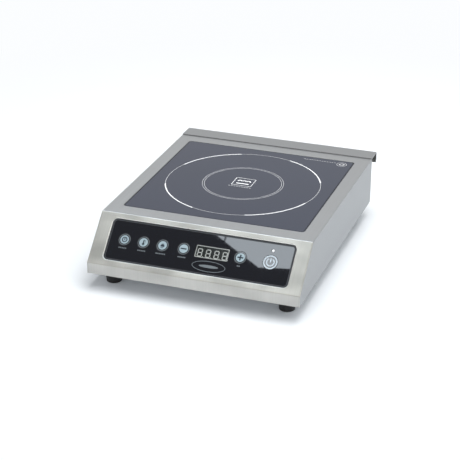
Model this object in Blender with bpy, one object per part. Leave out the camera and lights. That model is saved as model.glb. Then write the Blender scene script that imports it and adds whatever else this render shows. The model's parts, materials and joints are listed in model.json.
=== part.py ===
"""Counter-top induction hob: folded stainless housing, flush glass plate, slanted control panel.

Metres, +Z up. The origin is the middle of the footprint, on the surface the feet stand on.
+X is the right-hand side, -Y the front with the controls, +Y the rear with the air outlet.
"""

import math

import bmesh
import bpy
from mathutils import Matrix, Vector

# ---------------------------------------------------------------- driving dimensions

CLEARANCE = 0.0003          # gap between pieces that touch
SHEET = 0.0012              # stainless sheet of the housing
CUT_BEYOND = 0.0020         # how far a cutter reaches past what it cuts
UNION_OVERLAP = 0.0010      # how far joined solids reach into each other

BODY_WIDTH = 0.3270
BODY_HEIGHT = 0.0751        # lower edge of the housing to the deck
DECK_DEPTH = 0.3341         # fascia fold to rear wall
FASCIA_RUN = 0.0603         # front to back
LIP_HEIGHT = 0.0169         # upright lip below the fascia
FOLD_RADIUS = 0.0022        # outer radius of the housing's folds
SIDE_RADIUS = 0.0020        # outer radius where the deck turns down into the sides
FOOT_HEIGHT = 0.0229

HOOD_DEPTH = 0.0306         # rear wall to the hood's flange
HOOD_RISE = 0.0010          # hood above the deck
HOOD_FLANGE = 0.0180        # how far the flange hangs down
HEM_HEIGHT = 0.0060
HEM_RADIUS = 0.0016

GLASS_THICKNESS = 0.0040
GLASS_GAP = 0.0017          # deck opening to glass, all round
GLASS_CORNER = 0.0040
GLASS_SIDE_MARGIN = 0.0218  # deck beside the glass opening
GLASS_FRONT_MARGIN = 0.0267
GLASS_REAR_MARGIN = 0.0240
SEAL_DROP = 0.0001          # seal below the deck
LEDGE_WIDTH = 0.0120        # of the support frame, under the glass edge
FRAME_OVERLAP = 0.0045      # of the support frame, under the deck

WINDOW_HEIGHT = 0.0648      # along the slope
WINDOW_TOP = 0.0095         # fold to window, along the slope
WINDOW_SIDE_MARGIN = 0.0218
WINDOW_CORNER = 0.0070
WINDOW_LEDGE = 0.0035
PANEL_RECESS = 0.0018
PANEL_THICKNESS = 0.0030

KEY_DIAMETER = 0.0183
ON_OFF_DIAMETER = 0.0216
KEY_GAP = 0.00035           # key to its hole in the panel
KEY_FLANGE = 0.0012         # how far a key's flange reaches under the panel
KEY_FLANGE_THICKNESS = 0.0008
KEY_STEM_RADIUS = 0.0016
KEY_STEM_LENGTH = 0.0042
KEY_TRAVEL = 0.0004
KEY_FIRST = 0.0252          # window's left edge to the first key
KEY_PITCH = 0.02995
DOWN_FROM_LEFT = 0.1180     # window's left edge to the minus key
UP_FROM_RIGHT = 0.0785      # window's right edge to the plus key
ON_OFF_FROM_RIGHT = 0.0334
DISPLAY_FROM_RIGHT = 0.1217
KEY_ROW = 0.0297            # window's top edge to the row of keys
LED_ROW = 0.0119
LED_DIAMETER = 0.0043
DISPLAY_WIDTH = 0.0500
DISPLAY_HEIGHT = 0.0190
SWITCH_SIZE = 0.0070
SWITCH_HEIGHT = 0.0045
SWITCH_WALL = 0.0015        # below the hole that takes the key's stem
STEM_GAP = 0.0004           # stem to the switch's hole
BOARD_THICKNESS = 0.0016
BOARD_MARGIN = 0.0020
BUZZER_RADIUS = 0.0060
BUZZER_HEIGHT = 0.0070
BUZZER_WALL = 0.0012
BUZZER_HOLE = 0.0015
LAMP_EDGE = (0.0005, 0.0004)     # bevel of the lamp: inwards and down
BUZZER_PLACE = (0.045, -0.010)   # from the control board's middle
RIBBON_WIDTH = 0.0200
RIBBON_THICKNESS = 0.0010
RIBBON_X = 0.0600
RIBBON_START = 0.62         # share of the window down to the ribbon's socket
RIBBON_LEAD = 0.0120        # straight out of the control board
RIBBON_RISE = 0.0160        # straight up from the main board
RIBBON_INSET = 0.0060       # main board's front edge to the ribbon
RIBBON_BEND = 0.0040

COIL_OUTER_RADIUS = 0.1050
COIL_INNER_RADIUS = 0.0280
COIL_HEIGHT = 0.0060
COIL_TURNS = 7
COIL_STEPS = 20             # facets per turn
WINDING_GAP = 0.0018        # between neighbouring turns
FORMER_THICKNESS = 0.0030
FORMER_RIM = 0.0040         # former beyond the winding
FORMER_BORE = 0.0120
ARM_WIDTH = 0.0120
ARM_INSET = 0.0005          # arms below the former's top and above its bottom
ARM_STAGGER = 0.0004        # the two crossing arms lie this far apart in height
PAD_INSET = 0.0010          # pad at an arm's end, in from the arm's edge
MICA_THICKNESS = 0.0007
MICA_BORE = 0.0090
SENSOR_RADIUS = 0.0070
SENSOR_FOOT = (0.0075, 0.0015)   # foot beyond the sensor, and its thickness
FERRITE_COUNT = 6
FERRITE_SIZE = (0.0600, 0.0150, 0.0050)
FERRITE_RADIUS = 0.0680     # middle of a bar from the coil's axis

FAN_SIZE = 0.1200
FAN_HEIGHT = 0.0250
FAN_BORE_RADIUS = 0.0575
FAN_FRONT = 0.0775          # housing's front to the fan's front edge
FAN_SIDE = 0.0185           # housing's left side to the fan
FAN_TIP_GAP = 0.0020
FAN_HUB_RADIUS = 0.0200
FAN_BLADES = 7
FAN_PIN_RADIUS = 0.0025
FAN_PIN_GAP = 0.00012
FAN_BOSS_HEIGHT = 0.0040
FAN_STRUT_WIDTH = 0.0050
FAN_CORNER = 0.0050
FAN_STRUT_STEP = 0.0004     # the crossing struts and the boss end at different heights
FAN_RIM_OVERLAP = 0.0015    # struts and blades reach into the frame and the hub
FAN_BOSS_INSET = 0.0010     # boss narrower than the rotor's hub
FAN_PIN_DROP = 0.0060       # frame's top to the axle's tip
FAN_PIN_END_GAP = 0.0010
FAN_ROTOR_LIFT = 0.0006     # boss to the rotor
FAN_ROTOR_DROP = 0.0020     # rotor below the frame's top
BLADE_THICKNESS = 0.0014
BLADE_MARGIN = 0.0010       # blade to the hub's lower and upper face
BLADE_SWEEP = math.radians(34.0)
BLADE_FACETS = 3            # along the sweep
BLADE_STATIONS = 3          # from root to tip
GUARD_THICKNESS = 0.0010
GUARD_RINGS = 3
GUARD_RIB = 0.0030
GUARD_EYE = 0.6             # guard's middle disc, as a share of the hub
GUARD_OVERLAP = 0.0015      # guard beyond the fan's bore
DUCT_WALL = 0.0015
DUCT_TAIL = 0.0020          # duct beyond the heatsink
DUCT_DROP = 0.0020          # ferrites to the duct's roof
DUCT_OPENING = 0.0150       # lower edge of the duct above the base

HEATSINK_GAP = 0.0100       # fan to the heatsink
HEATSINK_LENGTH = 0.1300
HEATSINK_WIDTH = 0.1160
HEATSINK_HEIGHT = 0.0400
HEATSINK_BASE = 0.0050
HEATSINK_LEDGE = 0.0260     # part of the base without fins, for the transistors
HEATSINK_FINS = 12
FIN_THICKNESS = 0.0020
HEATSINK_STANDOFF = 0.0020
TRANSISTOR_SIZE = (0.0210, 0.0160, 0.0050)
RECTIFIER_SIZE = (0.0200, 0.0300, 0.0046)
PACKAGE_SETBACK = 0.0010    # semiconductors in from the heatsink's edge
LEAD_OVERLAP = 0.0010       # lead inside its package
LEAD_LENGTH = 0.0080
LEAD_WIDTH = 0.0014
LEAD_THICKNESS = 0.0008

MAIN_BOARD_GAP = 0.0130     # heatsink to the main board
MAIN_BOARD_SIDE = 0.0155    # main board to the housing's right side
MAIN_BOARD_FRONT = 0.0845
MAIN_BOARD_REAR = 0.0320
MAIN_BOARD_STANDOFF = 0.0060
CAPACITORS = {              # from the board's left edge and the glass's middle, then the size
    "dc_link_capacitor": ((0.0450, 0.0600), (0.0420, 0.0220, 0.0340)),
    "resonance_capacitor": ((0.0450, 0.0150), (0.0380, 0.0180, 0.0300)),
}
CAPACITOR_CHAMFER = 0.0015
CHOKE_PLACE = (0.1100, 0.0700)
CHOKE_RADIUS = 0.0170
CHOKE_WIRE_RADIUS = 0.0075

VENT_WIDTH = 0.0032
VENT_HEIGHT = 0.0240
VENT_PITCH = 0.0080
VENT_TOP = 0.0120           # deck to the top of the outlet slots
VENT_FROM_LEFT = 0.0700     # housing's left side to the first slot
VENT_FROM_RIGHT = 0.0180
INLET_WIDTH = 0.0032
INLET_PITCH = 0.0090
INLET_INSET = 0.0020        # inlet slots inside the fan's bore

GLAND_FROM_LEFT = 0.0400
GLAND_RISE = 0.0010         # gland's nut above the base plate's rear flange
GLAND_THREAD_RADIUS = 0.0098
GLAND_BORE_RADIUS = 0.0055
GLAND_THREAD_LENGTH = 0.0120
GLAND_HEX_RADIUS = 0.0150
GLAND_HEX_LENGTH = 0.0050
GLAND_NUT_LENGTH = 0.0170
GLAND_NOSE_RADIUS = 0.0085
GLAND_LOCKNUT_LENGTH = 0.0050
GLAND_GRIP = 0.0080         # length of the dome nut's hexagon
DOME_INSET = 0.0006         # dome inside the hexagon's flats
DOME_SHOULDER = (0.0010, 0.0030)   # bulge of the dome, and how far below its nose
TERMINAL_SIZE = (0.0320, 0.0180, 0.0180)
TERMINAL_PLACE = (0.0300, 0.0260)   # right of the gland, behind the heatsink
TERMINAL_SCREW_RADIUS = 0.0028
TERMINAL_SCREW_DEPTH = 0.0060

FOOT_TOP_RADIUS = 0.0135
FOOT_BOTTOM_RADIUS = 0.0118
FOOT_SIDE = 0.0287          # foot's middle from the housing's side
FOOT_FRONT = 0.0328         # foot's middle from the housing's front
FOOT_REAR = 0.0330          # foot's middle from the rear wall
FOOT_RECESS_RADIUS = 0.0048
FOOT_RECESS_DEPTH = 0.0125
FOOT_EDGE = 0.0012          # chamfer of a foot's lower edge
SCREW_HEAD_RADIUS = 0.0042
SCREW_HEAD_HEIGHT = 0.0032
SCREW_RADIUS = 0.0020
SCREW_TIP = 0.0040          # screw's tip above the base plate
BASE_FLANGE_DROP = 0.0040   # upturned edge of the base, below the top of the lip

ARC_STEPS = 4               # facets of a quarter turn
SIDE_STEPS = 3              # facets of the rounded side edges
ROUND_STEPS = 20            # facets of a full turn
SMALLEST_CORNER = 0.0005

# ---------------------------------------------------------------- derived places

DEPTH = FASCIA_RUN + DECK_DEPTH + HOOD_DEPTH
FRONT_Y = -DEPTH / 2
FOLD_Y = FRONT_Y + FASCIA_RUN
REAR_Y = FOLD_Y + DECK_DEPTH
HOOD_Y = REAR_Y + HOOD_DEPTH
HALF_WIDTH = BODY_WIDTH / 2
BODY_Z = FOOT_HEIGHT
DECK_Z = BODY_Z + BODY_HEIGHT
LIP_Z = BODY_Z + LIP_HEIGHT
TOP_Z = DECK_Z + HOOD_RISE
SHELL_REAR_Y = REAR_Y - SHEET - CLEARANCE
BASE_Z = BODY_Z + CLEARANCE
FLOOR_Z = BASE_Z + SHEET + CLEARANCE
BASE_FLANGE_Z = LIP_Z - BASE_FLANGE_DROP

FASCIA_ANGLE = math.atan2(DECK_Z - LIP_Z, FASCIA_RUN)
WINDOW_HALF_WIDTH = HALF_WIDTH - WINDOW_SIDE_MARGIN
WINDOW_HALF_HEIGHT = WINDOW_HEIGHT / 2
WINDOW_MIDDLE = -(WINDOW_TOP + WINDOW_HALF_HEIGHT)
PANEL_BACK = -(PANEL_RECESS + PANEL_THICKNESS)
POCKET_FLOOR = PANEL_BACK - CLEARANCE
KEY_Y = WINDOW_MIDDLE + WINDOW_HALF_HEIGHT - KEY_ROW
LED_Y = WINDOW_MIDDLE + WINDOW_HALF_HEIGHT - LED_ROW
ON_OFF_X = WINDOW_HALF_WIDTH - ON_OFF_FROM_RIGHT
DISPLAY_X = WINDOW_HALF_WIDTH - DISPLAY_FROM_RIGHT
FLANGE_TOP = PANEL_BACK - KEY_TRAVEL
STEM_TOP = FLANGE_TOP - KEY_FLANGE_THICKNESS
STEM_TIP = STEM_TOP - KEY_STEM_LENGTH
HOLE_BOTTOM = STEM_TIP - 2 * KEY_TRAVEL
SWITCH_BOTTOM = HOLE_BOTTOM - SWITCH_WALL
SWITCH_TOP = SWITCH_BOTTOM + SWITCH_HEIGHT
CONTROL_BOARD_TOP = SWITCH_BOTTOM - CLEARANCE
CONTROL_BOARD_BACK = CONTROL_BOARD_TOP - BOARD_THICKNESS

KEYS = {
    "timer": (-WINDOW_HALF_WIDTH + KEY_FIRST, KEY_DIAMETER / 2),
    "temperature": (-WINDOW_HALF_WIDTH + KEY_FIRST + KEY_PITCH, KEY_DIAMETER / 2),
    "power": (-WINDOW_HALF_WIDTH + KEY_FIRST + 2 * KEY_PITCH, KEY_DIAMETER / 2),
    "down": (-WINDOW_HALF_WIDTH + DOWN_FROM_LEFT, KEY_DIAMETER / 2),
    "up": (WINDOW_HALF_WIDTH - UP_FROM_RIGHT, KEY_DIAMETER / 2),
    "on_off": (ON_OFF_X, ON_OFF_DIAMETER / 2),
}

OPENING_HALF_WIDTH = HALF_WIDTH - GLASS_SIDE_MARGIN
OPENING_HALF_DEPTH = (DECK_DEPTH - GLASS_FRONT_MARGIN - GLASS_REAR_MARGIN) / 2
GLASS_Y = FOLD_Y + GLASS_FRONT_MARGIN + OPENING_HALF_DEPTH
GLASS_HALF_WIDTH = OPENING_HALF_WIDTH - GLASS_GAP
GLASS_HALF_DEPTH = OPENING_HALF_DEPTH - GLASS_GAP
GLASS_BOTTOM = DECK_Z - GLASS_THICKNESS

MICA_TOP = GLASS_BOTTOM - CLEARANCE
COIL_TOP = MICA_TOP - MICA_THICKNESS - CLEARANCE
FORMER_TOP = COIL_TOP - COIL_HEIGHT - CLEARANCE
FORMER_BOTTOM = FORMER_TOP - FORMER_THICKNESS
FERRITE_TOP = FORMER_BOTTOM - CLEARANCE
DUCT_TOP = FERRITE_TOP - FERRITE_SIZE[2] - DUCT_DROP

FAN_X = -HALF_WIDTH + FAN_SIDE + FAN_SIZE / 2
FAN_Y = FRONT_Y + FAN_FRONT + FAN_SIZE / 2
FAN_BOTTOM = FLOOR_Z + GUARD_THICKNESS + CLEARANCE
FAN_TOP = FAN_BOTTOM + FAN_HEIGHT
HEATSINK_FRONT = FAN_Y + FAN_SIZE / 2 + HEATSINK_GAP
HEATSINK_REAR = HEATSINK_FRONT + HEATSINK_LENGTH
HEATSINK_LEFT = FAN_X - HEATSINK_WIDTH / 2
HEATSINK_RIGHT = HEATSINK_LEFT + HEATSINK_WIDTH
HEATSINK_Z = FLOOR_Z + HEATSINK_STANDOFF
LEDGE_Z = HEATSINK_Z + HEATSINK_BASE + CLEARANCE

MAIN_BOARD_LEFT = HEATSINK_RIGHT + MAIN_BOARD_GAP
MAIN_BOARD_RIGHT = HALF_WIDTH - MAIN_BOARD_SIDE
MAIN_BOARD_Z = FLOOR_Z + MAIN_BOARD_STANDOFF
PARTS_Z = MAIN_BOARD_Z + BOARD_THICKNESS + CLEARANCE

FEET = {
    "front_left": (-HALF_WIDTH + FOOT_SIDE, FRONT_Y + FOOT_FRONT),
    "front_right": (HALF_WIDTH - FOOT_SIDE, FRONT_Y + FOOT_FRONT),
    "rear_left": (-HALF_WIDTH + FOOT_SIDE, REAR_Y - FOOT_REAR),
    "rear_right": (HALF_WIDTH - FOOT_SIDE, REAR_Y - FOOT_REAR),
}

# ---------------------------------------------------------------- materials

FINISHES = {
    "stainless": ((0.52, 0.52, 0.50), 1.0, 0.36),
    "glass_black": ((0.012, 0.012, 0.016), 0.0, 0.08),
    "panel_black": ((0.010, 0.010, 0.012), 0.0, 0.12),
    "smoked": ((0.030, 0.010, 0.012), 0.0, 0.10),
    "key_print": ((0.55, 0.66, 0.72), 0.0, 0.30),
    "lamp": ((0.85, 0.88, 0.90), 0.0, 0.25),
    "rubber": ((0.018, 0.018, 0.018), 0.0, 0.70),
    "seal": ((0.030, 0.030, 0.030), 0.0, 0.60),
    "zinc": ((0.60, 0.61, 0.62), 1.0, 0.40),
    "aluminium": ((0.70, 0.71, 0.72), 1.0, 0.45),
    "copper": ((0.72, 0.36, 0.20), 1.0, 0.35),
    "mica": ((0.62, 0.56, 0.42), 0.0, 0.55),
    "ferrite": ((0.060, 0.060, 0.065), 0.0, 0.50),
    "board_green": ((0.020, 0.160, 0.070), 0.0, 0.45),
    "plastic_black": ((0.025, 0.025, 0.027), 0.0, 0.50),
    "plastic_white": ((0.780, 0.770, 0.730), 0.0, 0.50),
    "plastic_grey": ((0.300, 0.310, 0.320), 0.0, 0.50),
}


def finish(name):
    """The material of that finish, made once."""
    found = bpy.data.materials.get(name)
    if found:
        return found
    colour, metallic, roughness = FINISHES[name]
    made = bpy.data.materials.new(name)
    made.use_nodes = True
    shader = made.node_tree.nodes["Principled BSDF"]
    shader.inputs["Base Color"].default_value = (*colour, 1.0)
    shader.inputs["Metallic"].default_value = metallic
    shader.inputs["Roughness"].default_value = roughness
    made.diffuse_color = (*colour, 1.0)
    return made


# ---------------------------------------------------------------- shape helpers


def clear_scene():
    for old in list(bpy.data.objects):
        bpy.data.objects.remove(old, do_unlink=True)


def empty(name, place, turn=(0.0, 0.0, 0.0)):
    """A guide frame that pieces are parented to."""
    made = bpy.data.objects.new(name, None)
    made.location = place
    made.rotation_euler = turn
    bpy.context.scene.collection.objects.link(made)
    return made


def object_from(name, mesh_maker, finish_name=None, parent=None, place=(0.0, 0.0, 0.0)):
    """An object whose mesh is drawn by mesh_maker(bm). Without a finish it is a cutter."""
    bm = bmesh.new()
    mesh_maker(bm)
    bmesh.ops.remove_doubles(bm, verts=bm.verts, dist=1e-6)
    bmesh.ops.recalc_face_normals(bm, faces=bm.faces)
    mesh = bpy.data.meshes.new(name)
    bm.to_mesh(mesh)
    bm.free()
    made = bpy.data.objects.new(name, mesh)
    made.location = place
    made.parent = parent
    bpy.context.scene.collection.objects.link(made)
    if finish_name:
        mesh.materials.append(finish(finish_name))
        mesh.shade_smooth()
        mesh.set_sharp_from_angle(angle=math.radians(35.0))
    else:
        made.hide_render = True
        made.display_type = "WIRE"
    return made


def combine(target, operation, other):
    """A Boolean on target; other becomes a hidden helper."""
    step = target.modifiers.new(f"{operation.lower()} {other.name}", "BOOLEAN")
    step.operation = operation
    step.solver = "EXACT"
    step.object = other
    other.hide_render = True
    other.display_type = "WIRE"


def cut(target, *others):
    for other in others:
        combine(target, "DIFFERENCE", other)


def join(target, *others):
    for other in others:
        combine(target, "UNION", other)


def arc(centre, radius, start, end, steps):
    """Points on an arc, in a plane, from the start angle to the end angle."""
    angles = [start + (end - start) * i / steps for i in range(steps + 1)]
    return [(centre[0] + radius * math.cos(a), centre[1] + radius * math.sin(a)) for a in angles]


def rounded_rectangle(half_x, half_y, radius, centre=(0.0, 0.0), steps=ARC_STEPS):
    """Outline of a rectangle with round corners, anticlockwise."""
    points = []
    quarter = math.pi / 2
    for turn, (sx, sy) in enumerate(((1, 1), (-1, 1), (-1, -1), (1, -1))):
        corner = (centre[0] + sx * (half_x - radius), centre[1] + sy * (half_y - radius))
        points += arc(corner, radius, turn * quarter, (turn + 1) * quarter, steps)
    return points


def circle(radius, centre=(0.0, 0.0), steps=ROUND_STEPS, phase=0.0):
    return arc(centre, radius, phase, phase + 2 * math.pi, steps)[:-1]


def rounded_path(points, radii, steps=ARC_STEPS):
    """An open path with each inner corner rounded to its radius."""
    path = [Vector(points[0])]
    for before, corner, after, radius in zip(points, points[1:], points[2:], radii):
        into = (Vector(corner) - Vector(before)).normalized()
        out = (Vector(after) - Vector(corner)).normalized()
        half_turn = math.acos(max(-1.0, min(1.0, into.dot(out)))) / 2
        side = 1.0 if into.cross(out) > 0 else -1.0
        reach = radius * math.tan(half_turn)
        first = Vector(corner) - into * reach
        centre = first + Vector((-into.y, into.x)) * side * radius
        spoke = first - centre
        for i in range(steps + 1):
            angle = side * 2 * half_turn * i / steps
            path.append(centre + Matrix.Rotation(angle, 2) @ spoke)
    path.append(Vector(points[-1]))
    return path


def offset_path(points, distance):
    """An open path moved to its right by distance, with mitred corners."""
    lines = [Vector(b) - Vector(a) for a, b in zip(points, points[1:])]
    sides = [Vector((v.y, -v.x)).normalized() for v in lines]
    moved = [Vector(points[0]) + sides[0] * distance]
    for corner, one, two in zip(points[1:-1], sides, sides[1:]):
        moved.append(Vector(corner) + (one + two) * distance / (1.0 + one.dot(two)))
    moved.append(Vector(points[-1]) + sides[-1] * distance)
    return moved


def folded_sheet(points, radii, thickness, steps=ARC_STEPS):
    """Outline of a folded sheet whose outer side runs along points; it lies to their right."""
    inner = rounded_path(offset_path(points, thickness), [r - thickness for r in radii], steps)
    return rounded_path(points, radii, steps) + inner[::-1]


def prism(bm, outline, low, high, axis="Z"):
    """A closed prism: outline in the plane across axis, from low to high along it."""
    place = {
        "X": lambda p, t: (t, p[0], p[1]),
        "Y": lambda p, t: (p[0], t, p[1]),
        "Z": lambda p, t: (p[0], p[1], t),
    }[axis]
    bottom = [bm.verts.new(place(p, low)) for p in outline]
    top = [bm.verts.new(place(p, high)) for p in outline]
    count = len(outline)
    bm.faces.new(bottom[::-1])
    bm.faces.new(top)
    for i in range(count):
        j = (i + 1) % count
        bm.faces.new((bottom[i], bottom[j], top[j], top[i]))


def block(bm, low, high):
    outline = [(low[0], low[1]), (high[0], low[1]), (high[0], high[1]), (low[0], high[1])]
    prism(bm, outline, low[2], high[2])


def closed_rings(bm, rings, closed_ends):
    """Faces between rings of points, each ring a closed loop; the rings meet end to end or are capped."""
    loops = [[bm.verts.new(p) for p in ring] for ring in rings]
    pairs = list(zip(loops, loops[1:]))
    if closed_ends:
        bm.faces.new(loops[0][::-1])
        bm.faces.new(loops[-1])
    else:
        pairs.append((loops[-1], loops[0]))
    for one, two in pairs:
        count = len(one)
        for i in range(count):
            j = (i + 1) % count
            bm.faces.new((one[i], one[j], two[j], two[i]))


def turned(bm, profile, steps=ROUND_STEPS, centre=(0.0, 0.0)):
    """A solid turned about Z from a closed profile of (radius, height) points off the axis."""
    rings = []
    for i in range(steps):
        angle = 2 * math.pi * i / steps
        c, s = math.cos(angle), math.sin(angle)
        rings.append([(centre[0] + r * c, centre[1] + r * s, z) for r, z in profile])
    closed_rings(bm, rings, closed_ends=False)


def stepped_shaft(bm, sections, steps=ROUND_STEPS, centre=(0.0, 0.0)):
    """A solid of revolution with flat ends, from (radius, height) points listed upwards."""
    rings = [[(x, y, z) for x, y in circle(r, centre, steps)] for r, z in sections]
    closed_rings(bm, rings, closed_ends=True)


def frame_ring(bm, half_x, half_y, radius, profile, centre=(0.0, 0.0)):
    """A ring round a rounded rectangle, with a closed profile of (outward, height) points."""
    outlines = []
    for out, _ in profile:
        corner = max(radius + out, SMALLEST_CORNER)
        outlines.append(rounded_rectangle(half_x + out, half_y + out, corner, centre))
    rings = []
    for i in range(len(outlines[0])):
        rings.append([(outline[i][0], outline[i][1], z) for outline, (_, z) in zip(outlines, profile)])
    closed_rings(bm, rings, closed_ends=False)


# ---------------------------------------------------------------- housing


def housing_profile():
    """Outer side of the sheet from the lip's lower edge, over the fascia, to the deck's rear."""
    return [(FRONT_Y, BODY_Z), (FRONT_Y, LIP_Z), (FOLD_Y, DECK_Z), (SHELL_REAR_Y, DECK_Z)]


def body_block(bm, inset, low, rear):
    """The housing's outer form, or its hollow once inset by the sheet, with round side edges."""
    side_radius = SIDE_RADIUS - inset
    fold_radius = FOLD_RADIUS - inset
    flat = HALF_WIDTH - inset - side_radius
    stations = [math.pi / 2 * i / SIDE_STEPS for i in range(SIDE_STEPS + 1)]
    rings = []
    for side, angles in ((-1, stations[::-1]), (1, stations)):
        for angle in angles:
            drop = side_radius * (1.0 - math.cos(angle))
            x = side * (flat + side_radius * math.sin(angle))
            corners = offset_path(housing_profile(), inset + drop)
            path = rounded_path(corners, [fold_radius - drop] * 2)
            outline = [(path[0].x, low), *path[1:-1], (rear, path[-1].y), (rear, low)]
            rings.append([(x, y, z) for y, z in outline])
    closed_rings(bm, rings, closed_ends=True)


def build_housing(fascia):
    beyond = 0.010
    shell = object_from(
        "housing_shell", lambda bm: body_block(bm, 0.0, BODY_Z, SHELL_REAR_Y), "stainless"
    )
    hollow = object_from(
        "hollow of the housing",
        lambda bm: body_block(bm, SHEET, BODY_Z - beyond, SHELL_REAR_Y + beyond),
    )
    cut(shell, hollow)

    pocket_wall = object_from(
        "wall of the panel's pocket",
        lambda bm: frame_ring(
            bm,
            WINDOW_HALF_WIDTH,
            WINDOW_HALF_HEIGHT,
            WINDOW_CORNER,
            [
                (-WINDOW_LEDGE, POCKET_FLOOR - SHEET),
                (SHEET, POCKET_FLOOR - SHEET),
                (SHEET, -SHEET / 2),
                (-WINDOW_LEDGE, -SHEET / 2),
            ],
            (0.0, WINDOW_MIDDLE),
        ),
        parent=fascia,
    )
    join(shell, pocket_wall)

    window = rounded_rectangle(
        WINDOW_HALF_WIDTH, WINDOW_HALF_HEIGHT, WINDOW_CORNER, (0.0, WINDOW_MIDDLE)
    )
    pocket = object_from(
        "panel's pocket", lambda bm: prism(bm, window, POCKET_FLOOR, beyond), parent=fascia
    )
    cut(shell, pocket)

    opening = rounded_rectangle(
        OPENING_HALF_WIDTH, OPENING_HALF_DEPTH, GLASS_CORNER + GLASS_GAP, (0.0, GLASS_Y)
    )
    glass_opening = object_from(
        "glass opening", lambda bm: prism(bm, opening, DECK_Z - 2 * SHEET, DECK_Z + beyond)
    )
    cut(shell, glass_opening)


def build_rear_panel():
    outer_side = [
        (REAR_Y - SHEET, BODY_Z),
        (REAR_Y - SHEET, TOP_Z),
        (HOOD_Y, TOP_Z),
        (HOOD_Y, TOP_Z - HOOD_FLANGE),
        (HOOD_Y - 2 * HEM_RADIUS, TOP_Z - HOOD_FLANGE),
        (HOOD_Y - 2 * HEM_RADIUS, TOP_Z - HOOD_FLANGE + HEM_HEIGHT),
    ]
    radii = [FOLD_RADIUS, FOLD_RADIUS, HEM_RADIUS - 1e-5, HEM_RADIUS - 1e-5]
    section = folded_sheet(outer_side, radii, SHEET, steps=3)
    panel = object_from(
        "rear_panel", lambda bm: prism(bm, section, -HALF_WIDTH, HALF_WIDTH, "X"), "stainless"
    )

    def slots(bm):
        run = BODY_WIDTH - VENT_FROM_LEFT - VENT_FROM_RIGHT - VENT_WIDTH
        count = int(run / VENT_PITCH) + 1
        top = DECK_Z - VENT_TOP
        for i in range(count):
            x = -HALF_WIDTH + VENT_FROM_LEFT + i * VENT_PITCH
            low = (x, REAR_Y - 3 * SHEET, top - VENT_HEIGHT)
            block(bm, low, (x + VENT_WIDTH, REAR_Y + 2 * SHEET, top))

    cut(panel, object_from("air outlet slots", slots))
    return panel


def build_base_plate():
    wall = SHEET + CLEARANCE
    half_x = HALF_WIDTH - wall
    half_y = (REAR_Y - FRONT_Y) / 2 - wall
    centre = (0.0, (REAR_Y + FRONT_Y) / 2)
    outside = rounded_rectangle(half_x, half_y, SIDE_RADIUS, centre, steps=2)
    inside = rounded_rectangle(half_x - SHEET, half_y - SHEET, SIDE_RADIUS - SHEET, centre, steps=2)
    base = object_from("base_plate", lambda bm: prism(bm, outside, BASE_Z, BASE_FLANGE_Z), "zinc")
    above = BASE_FLANGE_Z + SHEET
    cut(base, object_from("inside of the base", lambda bm: prism(bm, inside, BASE_Z + SHEET, above)))

    def slots(bm):
        reach = FAN_BORE_RADIUS - INLET_INSET
        count = int(reach / INLET_PITCH)
        for i in range(-count, count + 1):
            x = FAN_X + i * INLET_PITCH
            half = math.sqrt(reach**2 - (i * INLET_PITCH) ** 2)
            slot_low = (x - INLET_WIDTH / 2, FAN_Y - half, BASE_Z - SHEET)
            block(bm, slot_low, (x + INLET_WIDTH / 2, FAN_Y + half, BASE_Z + 2 * SHEET))

    def screw_holes(bm):
        hole = SCREW_RADIUS + CLEARANCE
        for place in FEET.values():
            prism(bm, circle(hole, place, 16), BASE_Z - SHEET, BASE_Z + 2 * SHEET)

    cut(base, object_from("air inlet slots", slots), object_from("foot screw holes", screw_holes))


def build_feet():
    recess_top = FOOT_RECESS_DEPTH
    head_top = recess_top - CLEARANCE
    for name, (x, y) in FEET.items():
        place = (x, y, 0.0)
        hole = SCREW_RADIUS + CLEARANCE
        taper = (FOOT_TOP_RADIUS - FOOT_BOTTOM_RADIUS) * FOOT_EDGE / FOOT_HEIGHT
        profile = [
            (FOOT_RECESS_RADIUS, 0.0),
            (FOOT_BOTTOM_RADIUS - FOOT_EDGE, 0.0),
            (FOOT_BOTTOM_RADIUS + taper, FOOT_EDGE),
            (FOOT_TOP_RADIUS, FOOT_HEIGHT),
            (hole, FOOT_HEIGHT),
            (hole, recess_top),
            (FOOT_RECESS_RADIUS, recess_top),
        ]
        object_from(f"foot_{name}", lambda bm: turned(bm, profile), "rubber", place=place)
        sections = [
            (SCREW_HEAD_RADIUS, head_top - SCREW_HEAD_HEIGHT),
            (SCREW_HEAD_RADIUS, head_top),
            (SCREW_RADIUS, head_top),
            (SCREW_RADIUS, BASE_Z + SHEET + SCREW_TIP),
        ]
        object_from(
            f"foot_screw_{name}", lambda bm: stepped_shaft(bm, sections, 16), "zinc", place=place
        )


# ---------------------------------------------------------------- glass and its seat


def build_glass():
    outline = rounded_rectangle(GLASS_HALF_WIDTH, GLASS_HALF_DEPTH, GLASS_CORNER, (0.0, GLASS_Y))
    object_from("glass_plate", lambda bm: prism(bm, outline, GLASS_BOTTOM, DECK_Z), "glass_black")

    seal_top = DECK_Z - SEAL_DROP
    seal = [
        (CLEARANCE, GLASS_BOTTOM),
        (GLASS_GAP - CLEARANCE, GLASS_BOTTOM),
        (GLASS_GAP - CLEARANCE, seal_top),
        (CLEARANCE, seal_top),
    ]
    centre = (0.0, GLASS_Y)
    glass = (GLASS_HALF_WIDTH, GLASS_HALF_DEPTH, GLASS_CORNER)
    object_from("glass_seal", lambda bm: frame_ring(bm, *glass, seal, centre), "seal")

    top = GLASS_BOTTOM - CLEARANCE
    edge = GLASS_GAP + FRAME_OVERLAP
    ledge = [
        (-LEDGE_WIDTH, top - SHEET),
        (edge, top - SHEET),
        (edge, DECK_Z - SHEET - CLEARANCE),
        (edge - SHEET, DECK_Z - SHEET - CLEARANCE),
        (edge - SHEET, top),
        (-LEDGE_WIDTH, top),
    ]
    object_from("glass_support_frame", lambda bm: frame_ring(bm, *glass, ledge, centre), "zinc")


# ---------------------------------------------------------------- controls


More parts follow.
